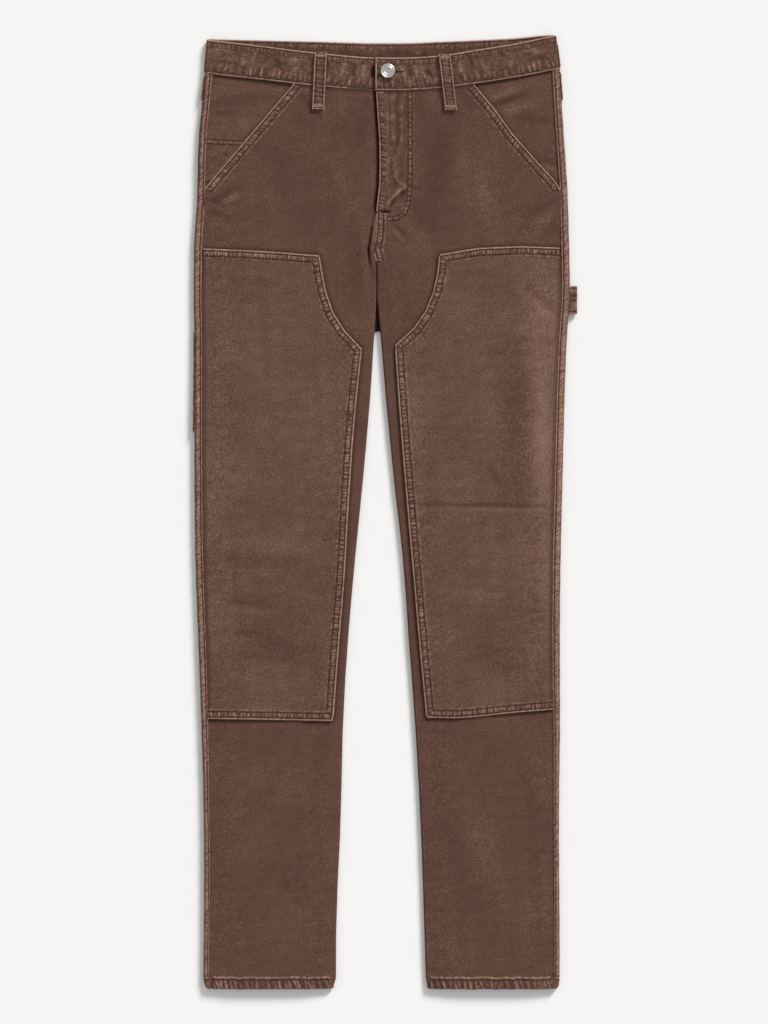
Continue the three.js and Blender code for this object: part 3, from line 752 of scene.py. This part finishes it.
def sloped(up, top):
    """Rows that are level along the leg and follow the slope of the waist at their top."""
    return up + ease(up, SLOPE_START, WAIST_SEAM) * (top - WAIST_SEAM)


def turned_edge(inner, sign, curl, steps):
    """The cloth round the inner edge of a leg: its x, its share of the way and its rise."""
    roll = np.linspace(0, 1, steps)[None, 1:]
    quarter = roll * math.pi / 2
    x = inner + sign * INSEAM_ROLL * mix(1 - roll, 1 - np.sin(quarter), curl)
    return x, roll, curl * (1 - np.cos(quarter))


def front_shell(side, solids, knee_edge, fly_edge):
    """The front from the side seam or pocket mouth to the centre, and round the inner edge of the leg."""
    sign = SIDES[side]
    solid = solids[f"front_{side}"]
    up = np.broadcast_to(PANEL_ROWS, (len(PANEL_ROWS), PANEL_SHARES.shape[1]))
    for _ in range(5):
        outer = solid.x_edge(np.minimum(up, OUTER_SIDE_TOP), sign) + sign * 1.2 * (up < MOUTH_BOTTOM)
        inner = solid.x_edge(np.minimum(up, INNER_SIDE_TOP), -sign) + sign * INSEAM_ROLL
        x = mix(outer, inner, PANEL_SHARES)
        up = sloped(PANEL_ROWS, front_seam(x) + 1.5)
    from_corner = np.clip(1 - np.abs(x - outer) / HEM_CORNER, 0, 1)
    corner = HEM_CORNER * (1 - np.sqrt(1 - from_corner ** 2))
    up = np.maximum(up, corner * (up < 6))
    inside_x = between(x, outer - sign * 1.7, inner)
    inside_up = between(up, 0.3, front_seam(x) - 0.8)
    top = smoothed(smoothed(solid.top(inside_x, inside_up), 14, 0), 8, 1)
    away = np.minimum(1, np.abs(x - outer) / 10)
    creases = crease_height(FRONT_CREASES, x, up) * away
    tone = cloth_tone(x, up) - 0.03
    if side == "left":
        creases = creases + crease_height(FLY_CREASES, x + FLY_FOLD_SHIFT, up)
        tone = tone + 0.1 * small_waves(x * 1.6, up) * bell(x - 10, 22) * ease(up, 870, 900)
    else:
        # Painted shadow in the gap beside the fly's edge, where the cloth also dips
        gap = bell(x - np.interp(up, fly_edge[:, 1], fly_edge[:, 0]) + 1.2, 2.0) * ease(up, 872, 890)
        creases = creases - 1.5 * gap
        tone = tone - 2.2 * gap
    # Painted shade: the tone follows the creases, lighter on ridges and darker in troughs, darker in the
    # groove beside the knee overlay, and darker just under the waistband's edge
    groove = bell(distance_to(knee_edge, x, up), 2.6)
    tone = tone + 0.3 * creases - 0.45 * groove - 0.5 * bell(front_seam(x) - 1.4 - up, 1.5)
    top = top + creases - 0.35 * groove + cloth_relief(x, up) * away

    # round the inner edge of the leg, down to where the back meets it
    curl = 1 - ease(up[:, -1:], 792, FRONT_CROTCH + 6)
    edge_x, roll, rise = turned_edge(inner[:, -1:] - sign * INSEAM_ROLL, sign, curl, 9)
    low = (EDGE_HEIGHT + 0.1) / 2
    edge_z = top[:, -1:] - (top[:, -1:] - low) * rise - (1 - curl) * 0.8 * roll ** 3
    x = np.concatenate([x, edge_x], 1)
    z = np.concatenate([top, edge_z], 1)
    up = np.concatenate([up, np.broadcast_to(up[:, -1:], edge_x.shape)], 1)
    # Painted shade: the tone darkens as the cloth rolls under at the inner edge
    tone = np.concatenate([tone, np.broadcast_to(tone[:, -1:], edge_x.shape) - 0.3 * roll ** 2], 1)
    return Patch.grid(grid_of(x, up, z), tone)


J_STITCHING = [
    [25.8, 1012], [26, 980], [26, 950], [25.8, 920], [25.2, 902],
    [24, 889], [20.6, 878.5], [16.4, 874], [10, 872.6], [2.5, 872.4],
]


def hem_band(solid, ground, seed):
    low_x, high_x = solid.x_edge(6, -1) + 0.4, solid.x_edge(6, 1) - 0.4
    x = np.linspace(low_x, high_x, 160)
    from_end = np.minimum(x - low_x, high_x - x)
    rise = 1.4 * bell(from_end, 2.0)
    path = np.stack([x, 0.5 + rise + 0.25 * small_waves(x * 0.7, 0 * x)], 1)
    return band(path, ground, HEM_BAND, seed, spacing=5.4, slant=0.3, rows=(9.95,), bars=0.6, shade=1.0)


def build_fronts(solids, knee_edges):
    fly_edge = solids["front_left"].side_path(-1, FLY_BOTTOM - 12, 1014, 3)
    for side, sign in SIDES.items():
        solid = solids[f"front_{side}"]
        shell = front_shell(side, solids, knee_edges[side], fly_edge)
        ground = shell.ground()
        patches = [shell]
        up = np.linspace(MOUTH_BOTTOM, 1027, 70)
        mouth = np.stack([solid.x_edge(up, sign), up], 1)
        mouth = mouth[mouth[:, 1] < front_seam(mouth[:, 0]) + 0.5]
        patches.append(band(mouth, ground, DOUBLE_BAND, 21 + sign, inward=sign, trims=(-0.5, -0.2),
                            spacing=3.6, slant=0.35 * sign, shade=1.0))
        patches.append(hem_band(solid, ground, 31 + sign))
        if side == "left":
            patches += fly_bands(solid, ground)
            inseam = solid.side_path(-1, 16, 318) + [2.6, 0]
            add_stitches(inseam, ground, lift=0.05, tone=0.3)
        dress(f"front_{side}", patches)


def fly_bands(solid, ground):
    """The fly's edge, the seam below it and the double row that holds the fly's facing."""
    fly = solid.side_path(-1, FLY_BOTTOM, 1014)
    seam = solid.side_path(-1, 822, FLY_BOTTOM - 2)
    seam[:, 0] -= 2.5 * bell(seam[:, 1] - 836, 9)
    stitching = smoothed(resampled(J_STITCHING, 1.5)[0], 12, 0)
    bar_tack(24.4, 904, 7, ground, heading=0.2, tone=0.0)
    bar_tack(0.6, 878.6, 9, ground, tone=-0.2)
    return [
        band(fly, ground, EDGE_BAND, 41, inward=-1, spacing=3.6, slant=0.25, rows=(EDGE_ROW,), shade=1.2),
        band(seam, ground, DOUBLE_BAND, 43, inward=-1, spacing=2.7, slant=0.35, bars=0.5, shade=1.2),
        band(stitching, ground, ROW_BAND, 47, spacing=4.6, rows=(0, 4.7), bars=0.35),
    ]


# Knee overlays

class Knee:
    """Outline of an overlay, with its corners."""

    def __init__(self, side, solid):
        self.sign = SIDES[side]
        self.solid = solid
        x_points, _, high = solid.by_x
        self.corner_x = x_points[np.argmax(high - 0.5 * self.sign * x_points)]
        self.corner_up = solid.up_edge(self.corner_x, 1)
        self.outer_x = solid.x_edge(KNEE_OUTER_LOW, self.sign)
        self.inner_x = solid.x_edge(KNEE_INNER_LOW, -self.sign)
        up_points, low_x, high_x = solid.by_up
        inner_x = low_x if self.sign > 0 else high_x
        self.tip_up = up_points[np.argmin(inner_x * self.sign + 0.12 * np.abs(up_points - 725))]

    def borders(self):
        """Each border's path, the trims of its ends and the spacing of its puckers."""
        sign, solid = self.sign, self.solid
        top = solid.level_path(1, solid.x_edge(self.corner_up - 4, sign) - sign * 1.5, self.corner_x)
        scoop = solid.side_path(-sign, self.corner_up - 1, self.tip_up, 1.5)
        inner = solid.side_path(-sign, self.tip_up - 1, 307.5)
        bottom = solid.level_path(-1, self.inner_x, self.outer_x - sign * 3)
        bottom = np.concatenate([bottom, bottom[-1:] + [sign * 3.2, 0]])
        return [
            (top, (0, 0.9), 3.6), (scoop, (0.9, 0.42), 4.2),
            (inner, (0.42, 0.95), 3.8), (bottom, (0.95, 0), 3.9),
        ]

    def edge(self):
        return np.concatenate([resampled(path, 2.0)[0] for path, _, _ in self.borders()])


def build_knee(side, knee):
    sign, solid = knee.sign, knee.solid
    share = np.concatenate([np.linspace(0, 0.7, 54)[:-1], np.linspace(0.7, 1, 52)])[None]
    level = np.linspace(0, 1, 260)[:, None]
    up = mix(312, mix(830, knee.tip_up, share), level)
    for _ in range(3):
        outer = solid.x_edge(between(up, KNEE_OUTER_LOW, KNEE_OUTER_TOP), sign)
        inner = solid.x_edge(between(up, 306, knee.tip_up), -sign)
        x = mix(outer, inner, share)
        bottom_up = solid.up_edge(between(x[:1], knee.outer_x - sign, knee.inner_x), -1)
        up = mix(bottom_up, solid.up_edge(between(x[-1:], solid.low[0], solid.high[0]), 1), level)
    z = smoothed(smoothed(solid.top(x, up), 10, 0), 6, 1)
    away = np.minimum(1, np.abs(x - outer) / 10)
    creases = crease_height(FRONT_CREASES, x, up) * away
    beside = bell(np.abs(x - outer) - 1.0, 1.8)
    z = z + creases + cloth_relief(x, up) * away - 0.3 * beside
    # Painted shade: darker along the dip beside the outer edge, and following the creases, lighter on ridges
    # and darker in troughs
    tone = cloth_tone(x, up) + 0.3 * creases + 0.07 - 0.35 * beside
    shell = Patch.grid(grid_of(x, up, z - 0.1), tone)
    ground = shell.ground()
    patches = [shell]
    for i, (path, trims, spacing) in enumerate(knee.borders()):
        patches.append(band(path, ground, DOUBLE_BAND, 51 + 2 * i + sign, inward=sign, trims=trims,
                            spacing=spacing, shade=1.0))
    corner = np.array([knee.inner_x, solid.up_edge(knee.inner_x, -1)])
    mitre = corner + np.linspace(1.5, 8.6, 6)[:, None] * [sign, 1.0]
    add_stitches(mitre, patches[-1].ground())
    dress(f"knee_panel_{side}", patches)


def build_back(side, solids):
    sign = SIDES[side]
    solid, front = solids[f"back_{side}"], solids[f"front_{side}"]

    def outline_x(up):
        rope = 0.12 * (1 - np.sin(up / 5.5)) * (up < 1000)
        return solid.x_edge(up, sign) - sign * (rope + 2.0 * np.clip(1 - up / 4, 0, 1) ** 2)

    def seam_x(up):
        share = ease(up, 860, 890)
        return mix(front.x_edge(np.minimum(up, 890), sign), solid.x_edge(up, sign) - sign * 9.0, share)

    # the side's roll and the felled strip beside the front
    turn = np.radians(np.linspace(-90, 90, 17))[None]
    upper = sloped(PANEL_ROWS, front_seam(sign * 200) + 1)
    outline = outline_x(upper)
    strip = np.linspace(0, 1, 8)[None, 1:]
    roll_x = outline - sign * SIDE_RADIUS + sign * SIDE_RADIUS * np.cos(turn)
    roll_z = SIDE_RADIUS * (1 + np.sin(turn)) * np.ones_like(roll_x)
    strip_x = mix(outline - sign * SIDE_RADIUS, seam_x(upper) + sign * 0.3, strip)
    x = np.concatenate([roll_x, strip_x], 1)
    z = np.concatenate([roll_z, np.full(strip_x.shape, 2 * SIDE_RADIUS)], 1)
    rows = np.broadcast_to(upper, x.shape)
    hem = bell(rows - 12.2, 1.2) - bell(rows - 10, 0.9)
    z = z + (0.12 * small_waves(x * 0.8, rows) + 0.3 * hem) * (z > 3)
    # Painted light and shade on the hem's fold: lighter on its ridge, darker in its stitched groove
    edge = Patch.grid(grid_of(x, rows, z), 0.1 + cloth_tone(x, rows) + 0.5 * hem)
    along = np.linspace(15, upper.max() - 2, 500)
    path = np.stack([seam_x(along), along], 1)
    patches = [edge, band(
        path, edge.ground(), SEAM_BAND, 61 + sign, inward=-sign, spacing=3.3, slant=-0.75 * sign, rows=(1.8,),
        bars=0.35, shade=0.65, widths=lambda path: np.abs(outline_x(path[:, 1]) - path[:, 0]) - 0.9,
    )]
    hip = np.linspace(MOUTH_BOTTOM + 6, upper.max() - 4, 60)
    add_stitches(np.stack([outline_x(hip) - sign * 2.6, hip], 1), patches[1].ground(), width=0.95, tone=-0.65)

    # the underside, flat on the surface, with the inner edge turned up
    up = UNDER_ROWS
    centre = solids["back_left"].x_edge(1000, -1)
    inner = np.where(up > BACK_CROTCH, centre, front.x_edge(up, -sign))
    shares = np.linspace(0, 1, 30)[None]
    floor_x = mix(outline_x(up) - sign * SIDE_RADIUS, inner + sign * INSEAM_ROLL, shares)
    edge_x, _, rise = turned_edge(inner, sign, (up < BACK_CROTCH).astype(float), 8)
    x = np.concatenate([floor_x, edge_x], 1)
    z = np.concatenate([np.zeros(floor_x.shape), EDGE_HEIGHT / 2 * rise], 1)
    under = sloped(up, back_top(x) - WAISTBAND_WIDTH + 1)
    under = np.maximum(under, 0.5 * (under < 2))
    seams = bell(np.abs(x - outline_x(up)) - 9, 1.2) + bell(x - inner - sign * 7, 1.2) + bell(under - 11, 1.3)
    # Painted crease light and shade on the flat underside, from the front's crease table mirrored
    tone = cloth_tone(x + 300, under) + 0.25 * crease_height(FRONT_CREASES, -x, under) - 0.4 * seams
    patches.append(Patch.grid(grid_of(x, under, z), tone, -UP))

    # the inside of the back, seen in the open hem and between the legs, darkened with painted shade that is
    # deepest between the legs
    crotch_shade = 0.9 * bell(x + 7, 14) * ease(under, 720, 742) * (1 - ease(under, 820, 840))
    lift = CLOTH * np.where(np.arange(x.shape[1]) < floor_x.shape[1], 1, 0.1)
    inside = grid_of(x, under, z + lift)
    for start, end in ((0, 50), (660, 850)):
        rows = (up[:, 0] >= start) & (up[:, 0] <= end)
        patches.append(Patch.grid(inside[rows], (tone - 0.3 - crotch_shade)[rows]))
    dress(f"back_{side}", patches)


# Waistband, belt loops and small pieces

def build_waistband(side, solids):
    sign = SIDES[side]
    solid = solids[f"waistband_{side}"]
    start = {"right": 18.0, "left": -10.4}[side] + CENTRE_X
    end = solids["back_left"].x_edge(1000, -1)
    height = np.linspace(0, 1, 44)[None]
    corner_up = [front_seam(solid.x_edge(1050, sign)) + 3, front_top(solid.x_edge(1070, sign)) - 3]
    low_edge, high_edge = solid.x_edge(corner_up, sign) - sign * BAND_RADIUS
    edge = mix(low_edge, high_edge, height)
    x = mix(start, edge, np.linspace(0, 1, 240)[:, None])
    low, high = front_seam(x), front_top(x)
    up = mix(low, high, height)
    middle = slice(22, 23)
    inside = between(x[:, middle], start + sign * 0.6, edge[:, middle])
    top = smoothed(solid.top(inside, mix(low, high, 0.5)[:, middle]), 10, 0)
    top = np.broadcast_to(top, up.shape)
    creases = crease_height(WAISTBAND_CREASES, x, up)
    if side == "right":
        creases = creases - 1.2 * bell(x + 13.2, 1.8)
    bumps = 0.2 * small_waves(x, up) + 0.08 * fine_waves(x, up) + 0.15 * soft_waves(x, up)
    held = np.minimum(1, 3.2 * (1 - np.abs(2 * height - 1)) + 0.1)
    front = grid_of(x, up, top + (creases + bumps) * held - 0.15)

    def on_back(x):
        return back_top(x) - WAISTBAND_WIDTH * (1 - height)

    turn = np.linspace(1, -1, 15)[1:, None] * math.pi / 2
    share = np.linspace(0, 1, 15)[1:, None]
    turn_x = edge + sign * BAND_RADIUS * np.cos(turn)
    turn_up = mix(mix(front_seam(turn_x), front_top(turn_x), height), on_back(turn_x), share)
    back_x = mix(edge, end, np.linspace(0, 1, 80)[1:, None])
    whole = np.concatenate([
        front,
        grid_of(turn_x, turn_up, BAND_RADIUS * (1 + np.sin(turn))),
        grid_of(back_x, on_back(back_x), 0),
    ])
    whole_x, whole_up = whole[..., 0], whole[..., 1]
    tone = 0.04 * small_waves(whole_x, whole_up) + 0.03 * fine_waves(whole_x, whole_up)
    tone = 0.05 + tone + cloth_tone(whole_x, whole_up)
    # Painted light and shade: the tone follows the creases, and on the right a painted shadow darkens the dip
    # at the band's end by the fly
    tone[:len(front)] += 0.45 * creases
    if side == "right":
        tone[:len(front)] -= 0.9 * bell(x + 13.2, 2.2)
    patches = [Patch.lipped(whole, tone, BAND_CLOTH, sign * ACROSS)]
    ground = Patch.grid(front, 0).ground()
    top_x, low_x = np.linspace(start + sign * 0.4, np.array([high_edge, low_edge]) + sign * 1.6, 90).T
    top_path = np.stack([top_x, front_top(top_x)], 1)
    low_path = np.stack([low_x, front_seam(low_x)], 1)
    patches.append(band(top_path, ground, EDGE_BAND, 71 + sign, inward=-sign, rows=(EDGE_ROW,),
                        spacing=4.6, bars=0.3, shade=0.5))
    patches.append(band(low_path, ground, PUCKERED_BAND, 75 + sign, inward=sign, rows=(EDGE_ROW,),
                        spacing=6.2, slant=0.12, bars=0.7, shade=0.65))
    if side == "left":
        across = np.linspace(front_seam(start) + 0.5, front_top(start) - 0.5, 30)
        lap = np.stack([np.full(30, start), across], 1)
        patches.append(band(lap, ground, EDGE_BAND, 79, inward=-1, rows=(EDGE_ROW,), trims=(0.8, 0.8)))
        buttonhole = np.stack([np.linspace(10, 22, 12), np.full(12, 1036.6)], 1)
        add_stitches(buttonhole, ground, lift=0.15, pitch=0.8, length=0.9, width=1.2, tone=-0.6)

    # the inside of the back, above the front's edge
    inner_x = np.linspace(end, high_edge, 160)[:, None]
    inner_up = back_top(inner_x) - np.linspace(0, 24, 14)[None]
    inner_z = BAND_CLOTH + 0.05 + 0.1 * small_waves(inner_x, inner_up)
    shade = -0.08 + 0.1 * small_waves(inner_x, inner_up) - 0.2 * ease(back_top(inner_x) - inner_up, 6, 18)
    inner = Patch.grid(grid_of(inner_x, inner_up, inner_z), shade)
    back_path = np.stack([inner_x[:, 0], back_top(inner_x[:, 0])], 1)
    patches += [inner, band(back_path, inner.ground(), EDGE_BAND, 85 + sign, inward=-sign, rows=(EDGE_ROW,),
                            spacing=4.0, bars=0.2, shade=0.4)]
    dress(f"waistband_{side}", patches)


def solid_panel(solid, rows, columns, inset=0.96, margin=0.3, rounds=(3, 3)):
    """A grid over a solid's top, between its edges at each height."""
    up = np.linspace(solid.low[1] + 0.02, solid.high[1] - 0.02, rows)[:, None]
    x = mix(solid.x_edge(up, -1), solid.x_edge(up, 1), np.linspace(0, 1, columns)[None])
    up = up + 0 * x
    inside_x = mix(x.mean(1, keepdims=True), x, inset)
    z = solid.top(inside_x, between(up, solid.low[1] + margin, solid.high[1] - margin))
    return x, up, smoothed(smoothed(z, rounds[0], 0), rounds[1], 1)


def build_facing(side, solids):
    name = f"pocket_facing_{side}"
    x, up, z = solid_panel(solids[name], 120, 90)
    mouth = solids[f"front_{side}"].side_path(SIDES[side], MOUTH_BOTTOM, 1020, 3)
    creases = crease_height(FACING_CREASES, x, up)
    groove = bell(distance_to(mouth, x, up), 2.4)
    z = z + creases + cloth_relief(x, up) - 0.2 * groove
    # Painted shade: darker in the groove under the pocket mouth's edge and just under the waistband, and
    # following the creases
    seam = bell(front_seam(x) - 1.4 - up, 1.5)
    tone = cloth_tone(x, up) + 0.35 * creases + 0.01 - 0.02 * SIDES[side] - 0.3 * groove - 0.4 * seam
    dress(name, [Patch.grid(grid_of(x, up, z), tone)])


def build_coin_pocket(solids):
    solid = solids["coin_pocket"]
    x, up, z = solid_panel(solid, 40, 36)
    z = z + 0.12 * small_waves(x, up)
    points = grid_of(x, up, z - 0.1)
    shell = Patch.lipped(points, cloth_tone(x, up) + 0.04 * small_waves(up, x), 0.8)
    top = solid.level_path(1, x.min() + 1, x.max() - 1)
    top[:, 1] = np.polyval(np.polyfit(top[:12, 0], top[:12, 1], 1), top[:, 0]) - 2.4
    ground = Patch.grid(points, 0).ground()
    strip = band(top, ground, ROW_BAND, 81, inward=-1, rows=(0, 4.6), spacing=3.0, bars=0.2, shade=0.4)
    dress("coin_pocket", [shell, strip])


def build_fly_shield(solids):
    x, up, z = solid_panel(solids["fly_shield"], 120, 20)
    # Painted shadow: the shield is darkened where it lies in the shade under the fly
    dress("fly_shield", [Patch.lipped(grid_of(x, up, z), -0.7 + cloth_tone(x, up), 1.0)])


def build_belt_loop(side, solids):
    name = f"belt_loop_front_{side}"
    x, up, z = solid_panel(solids[name], 90, 34, inset=0.9, margin=0.42, rounds=(4, 0))
    low, high = up[0], up[-1]
    share = np.linspace(0, 1, 34)[None]
    across = np.abs(2 * share - 1)
    bar = puckers(up, share * 6, 91 + SIDES[side], 3.6, 0.3) * (across < 0.92)
    ridge, channel = bell(across - 0.9, 0.1), bell(across - 0.64, 0.09)
    end = bell(up - low - 0.6, 0.9) + bell(high - 0.6 - up, 0.9)
    z = z + 0.5 * ridge - 0.35 * channel + 0.28 * bar - 0.1 + 0.08 * fine_waves(x, up) + 0.3 * end
    # Lighter on the edge ridges, drawn-up bars and ends, partly rubbed and partly painted highlight, with
    # painted shade in the stitch channels
    tone = 0.8 * ridge - 0.85 * channel + 0.6 * bar + 0.08 * fine_waves(up, x) + 0.6 * end
    points = grid_of(x, up, z)
    ground = Patch.grid(points, 0).ground()
    for place in (0.18, 0.82):
        line = np.stack([mix(x[:, 0], x[:, -1], place), up[:, 0]], 1)[3:-3]
        add_stitches(line, ground)
    for row, shift in ((2, 2.4), (-3, -2.4)):
        bar_tack((x[row, 0] + x[row, -1]) / 2, up[row, 0] + shift, 10.8, ground)
    dress(name, [Patch.lipped(points, tone, 1.5)])


def build_side_strip(name, outlines, solid, sign, radius, turns):
    """A strip round the rolled side, on what it is sewn to."""
    up = np.linspace(solid.low[1], solid.high[1], 80)[:, None]
    turn = np.radians(np.linspace(*turns, 24))[None]
    reach = radius + 0.7 + 0.75 * ease(up, solid.high[1] - 20, solid.low[1])
    edge = sign * np.max([
        np.where(up < outline.high[1] - 2, sign * outline.x_edge(up, sign), 0) for outline in outlines
    ], 0)
    x = smoothed(edge, 6, 0) - sign * radius + sign * reach * np.cos(turn)
    z = radius + reach * np.sin(turn)
    from_end = np.minimum(up - solid.low[1], solid.high[1] - up)
    bumps = 0.2 * small_waves(up, z * 3) + 0.35 * bell(from_end - 1.2, 1.2)
    # Painted light: lighter on the bumps and on the raised ends
    tone = 0.05 + cloth_tone(x, up) + 0.7 * bell(from_end - 0.8, 1.0) + 0.5 * bumps
    dress(name, [Patch.lipped(grid_of(x + sign * bumps, up, z), tone, 1.1, sign * ACROSS)])


HAMMER_LOOP_ROWS = (778, 783.6)


def build_hammer_loop(solids):
    solid, back = solids["hammer_loop"], solids["back_left"]
    low, high = solid.low, solid.high
    radius = (high[2] - low[2]) / 2
    up = np.linspace(low[1], high[1], 60)[:, None]
    root = back.x_edge(up, 1) + 0.4
    turn_x = high[0] - radius
    half = np.linspace(0, 1, 12)[None]
    turn = np.radians(np.linspace(90, -90, 16))[None, 1:-1]
    flat = np.ones((1, 12))
    bend = turn_x + radius * np.cos(turn) + 0 * up
    x = np.concatenate([mix(root, turn_x, half), bend, mix(turn_x, root, half)], 1)
    z = np.concatenate([flat * high[2], low[2] + radius + radius * np.sin(turn), flat * low[2]], 1)
    from_end = np.minimum(up - low[1], high[1] - up)
    rows = bell(from_end - 2.4, 0.8) + sum(bell(up - row, 0.9) for row in HAMMER_LOOP_ROWS)
    side = np.sign(z - (low[2] + high[2]) / 2)
    z = z + side * (0.3 * bell(from_end - 0.8, 0.7) - 0.2 * rows)
    # Painted light and shade: lighter on the raised ends, darker in the stitched grooves
    tone = 0.2 + 0.12 * small_waves(x, up) + 0.8 * bell(from_end - 0.5, 0.7) - 0.6 * rows
    points = grid_of(x, up, z)
    ground = Patch.grid(points[:, :12], 0).ground()
    for row in HAMMER_LOOP_ROWS:
        across = np.linspace(root.mean() + 1, turn_x + 1, 5)
        add_stitches(np.stack([across, np.full(5, row)], 1), ground)
    dress("hammer_loop", [Patch.lipped(points, tone, 1.0, ACROSS)])


BUTTON_PROFILE = table("radius height", [
    [0, 2.35], [1, 2.37], [1.9, 2.4], [2.4, 2.3], [2.9, 2.42], [3.4, 2.5], [3.9, 2.6], [4.3, 2.85],
    [4.8, 2.95], [5.2, 2.85], [5.5, 2.55], [5.9, 2.45], [6.2, 2.6], [6.6, 3], [7.1, 3.18], [7.6, 3.1],
    [8, 2.7], [8.35, 2.1], [8.5, 1.4], [8.45, 0.8], [8.1, 0.3], [7.4, 0.05], [0.2, 0],
])


def build_button():
    low, high = (np.array(corner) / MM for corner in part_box("button"))
    centre = (low + high) / 2
    around = np.linspace(0, math.tau, 97)
    radius, height = BUTTON_PROFILE["radius"][:, None], BUTTON_PROFILE["height"][:, None]
    x = centre[0] + radius * np.cos(around)
    up = centre[1] - HEM_Y + radius * np.sin(around)
    face = Patch.grid(grid_of(x, up, low[2] + height), 0)
    piece("button_face", [face], METAL, ["button"])


# Stage

def build_stage():
    size = 6.0
    corners = [(-size, -size, 0), (size, -size, 0), (size, size, 0), (-size, size, 0)]
    floor = bpy.data.meshes.new("floor")
    floor.from_pydata(corners, [], [(0, 1, 2, 3)])
    obj = bpy.data.objects.new("floor", floor)
    bpy.context.scene.collection.objects.link(obj)
    obj.location.z = -0.0004
    floor.materials.append(plain_material("floor_paper", (0.90, 0.895, 0.885), 0.9))
    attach(obj, "root")

    world = bpy.data.worlds.new("world")
    bpy.context.scene.world = world
    world.use_nodes = True
    background = world.node_tree.nodes["Background"].inputs
    background["Color"].default_value = (1, 0.995, 0.985, 1)
    background["Strength"].default_value = 0.54

    light = bpy.data.lights.new("key", "SUN")
    light.energy = 4.1
    light.angle = math.radians(15)
    lamp = bpy.data.objects.new("key", light)
    bpy.context.scene.collection.objects.link(lamp)
    lamp.location = (0.50, 0.75, 0.365)
    lamp.rotation_euler = (-lamp.location).to_track_quat("-Z", "Y").to_euler()

    camera = bpy.data.cameras.new("camera")
    camera.lens = 85
    camera.sensor_width = 36
    view = bpy.data.objects.new("camera", camera)
    bpy.context.scene.collection.objects.link(view)
    distance = camera.lens / camera.sensor_width * PICTURE_HEIGHT * MM_PER_PIXEL
    view.location = (CAMERA_X * MM, CAMERA_Y * MM, (distance + CLOTH_TOP) * MM)
    bpy.context.scene.camera = view
    bpy.context.scene.view_settings.view_transform = "Standard"


def build():
    solids = {name: Solid(name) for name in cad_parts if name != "button"}
    fly_up, fly_x, _ = solids["front_left"].by_up
    fly_x -= FLY_LEAN * ease(fly_up, 815, 880)
    knees = {side: Knee(side, solids[f"knee_panel_{side}"]) for side in SIDES}
    build_fronts(solids, {side: knee.edge() for side, knee in knees.items()})
    sew("stitches_fronts")
    for side in SIDES:
        build_knee(side, knees[side])
    sew("stitches_knees")
    for side, sign in SIDES.items():
        build_back(side, solids)
        build_waistband(side, solids)
        build_facing(side, solids)
        build_belt_loop(side, solids)
        name = f"belt_loop_side_{side}"
        outlines = [solids[f"waistband_{side}"], solids[f"back_{side}"]]
        build_side_strip(name, outlines, solids[name], sign, BAND_RADIUS, (38, -38))
    build_side_strip("tool_pocket", [solids["back_right"]], solids["tool_pocket"], -1, SIDE_RADIUS, (60, -39))
    build_coin_pocket(solids)
    build_fly_shield(solids)
    build_hammer_loop(solids)
    build_button()
    sew("stitches_seams_and_waist")


build_stage()
build()
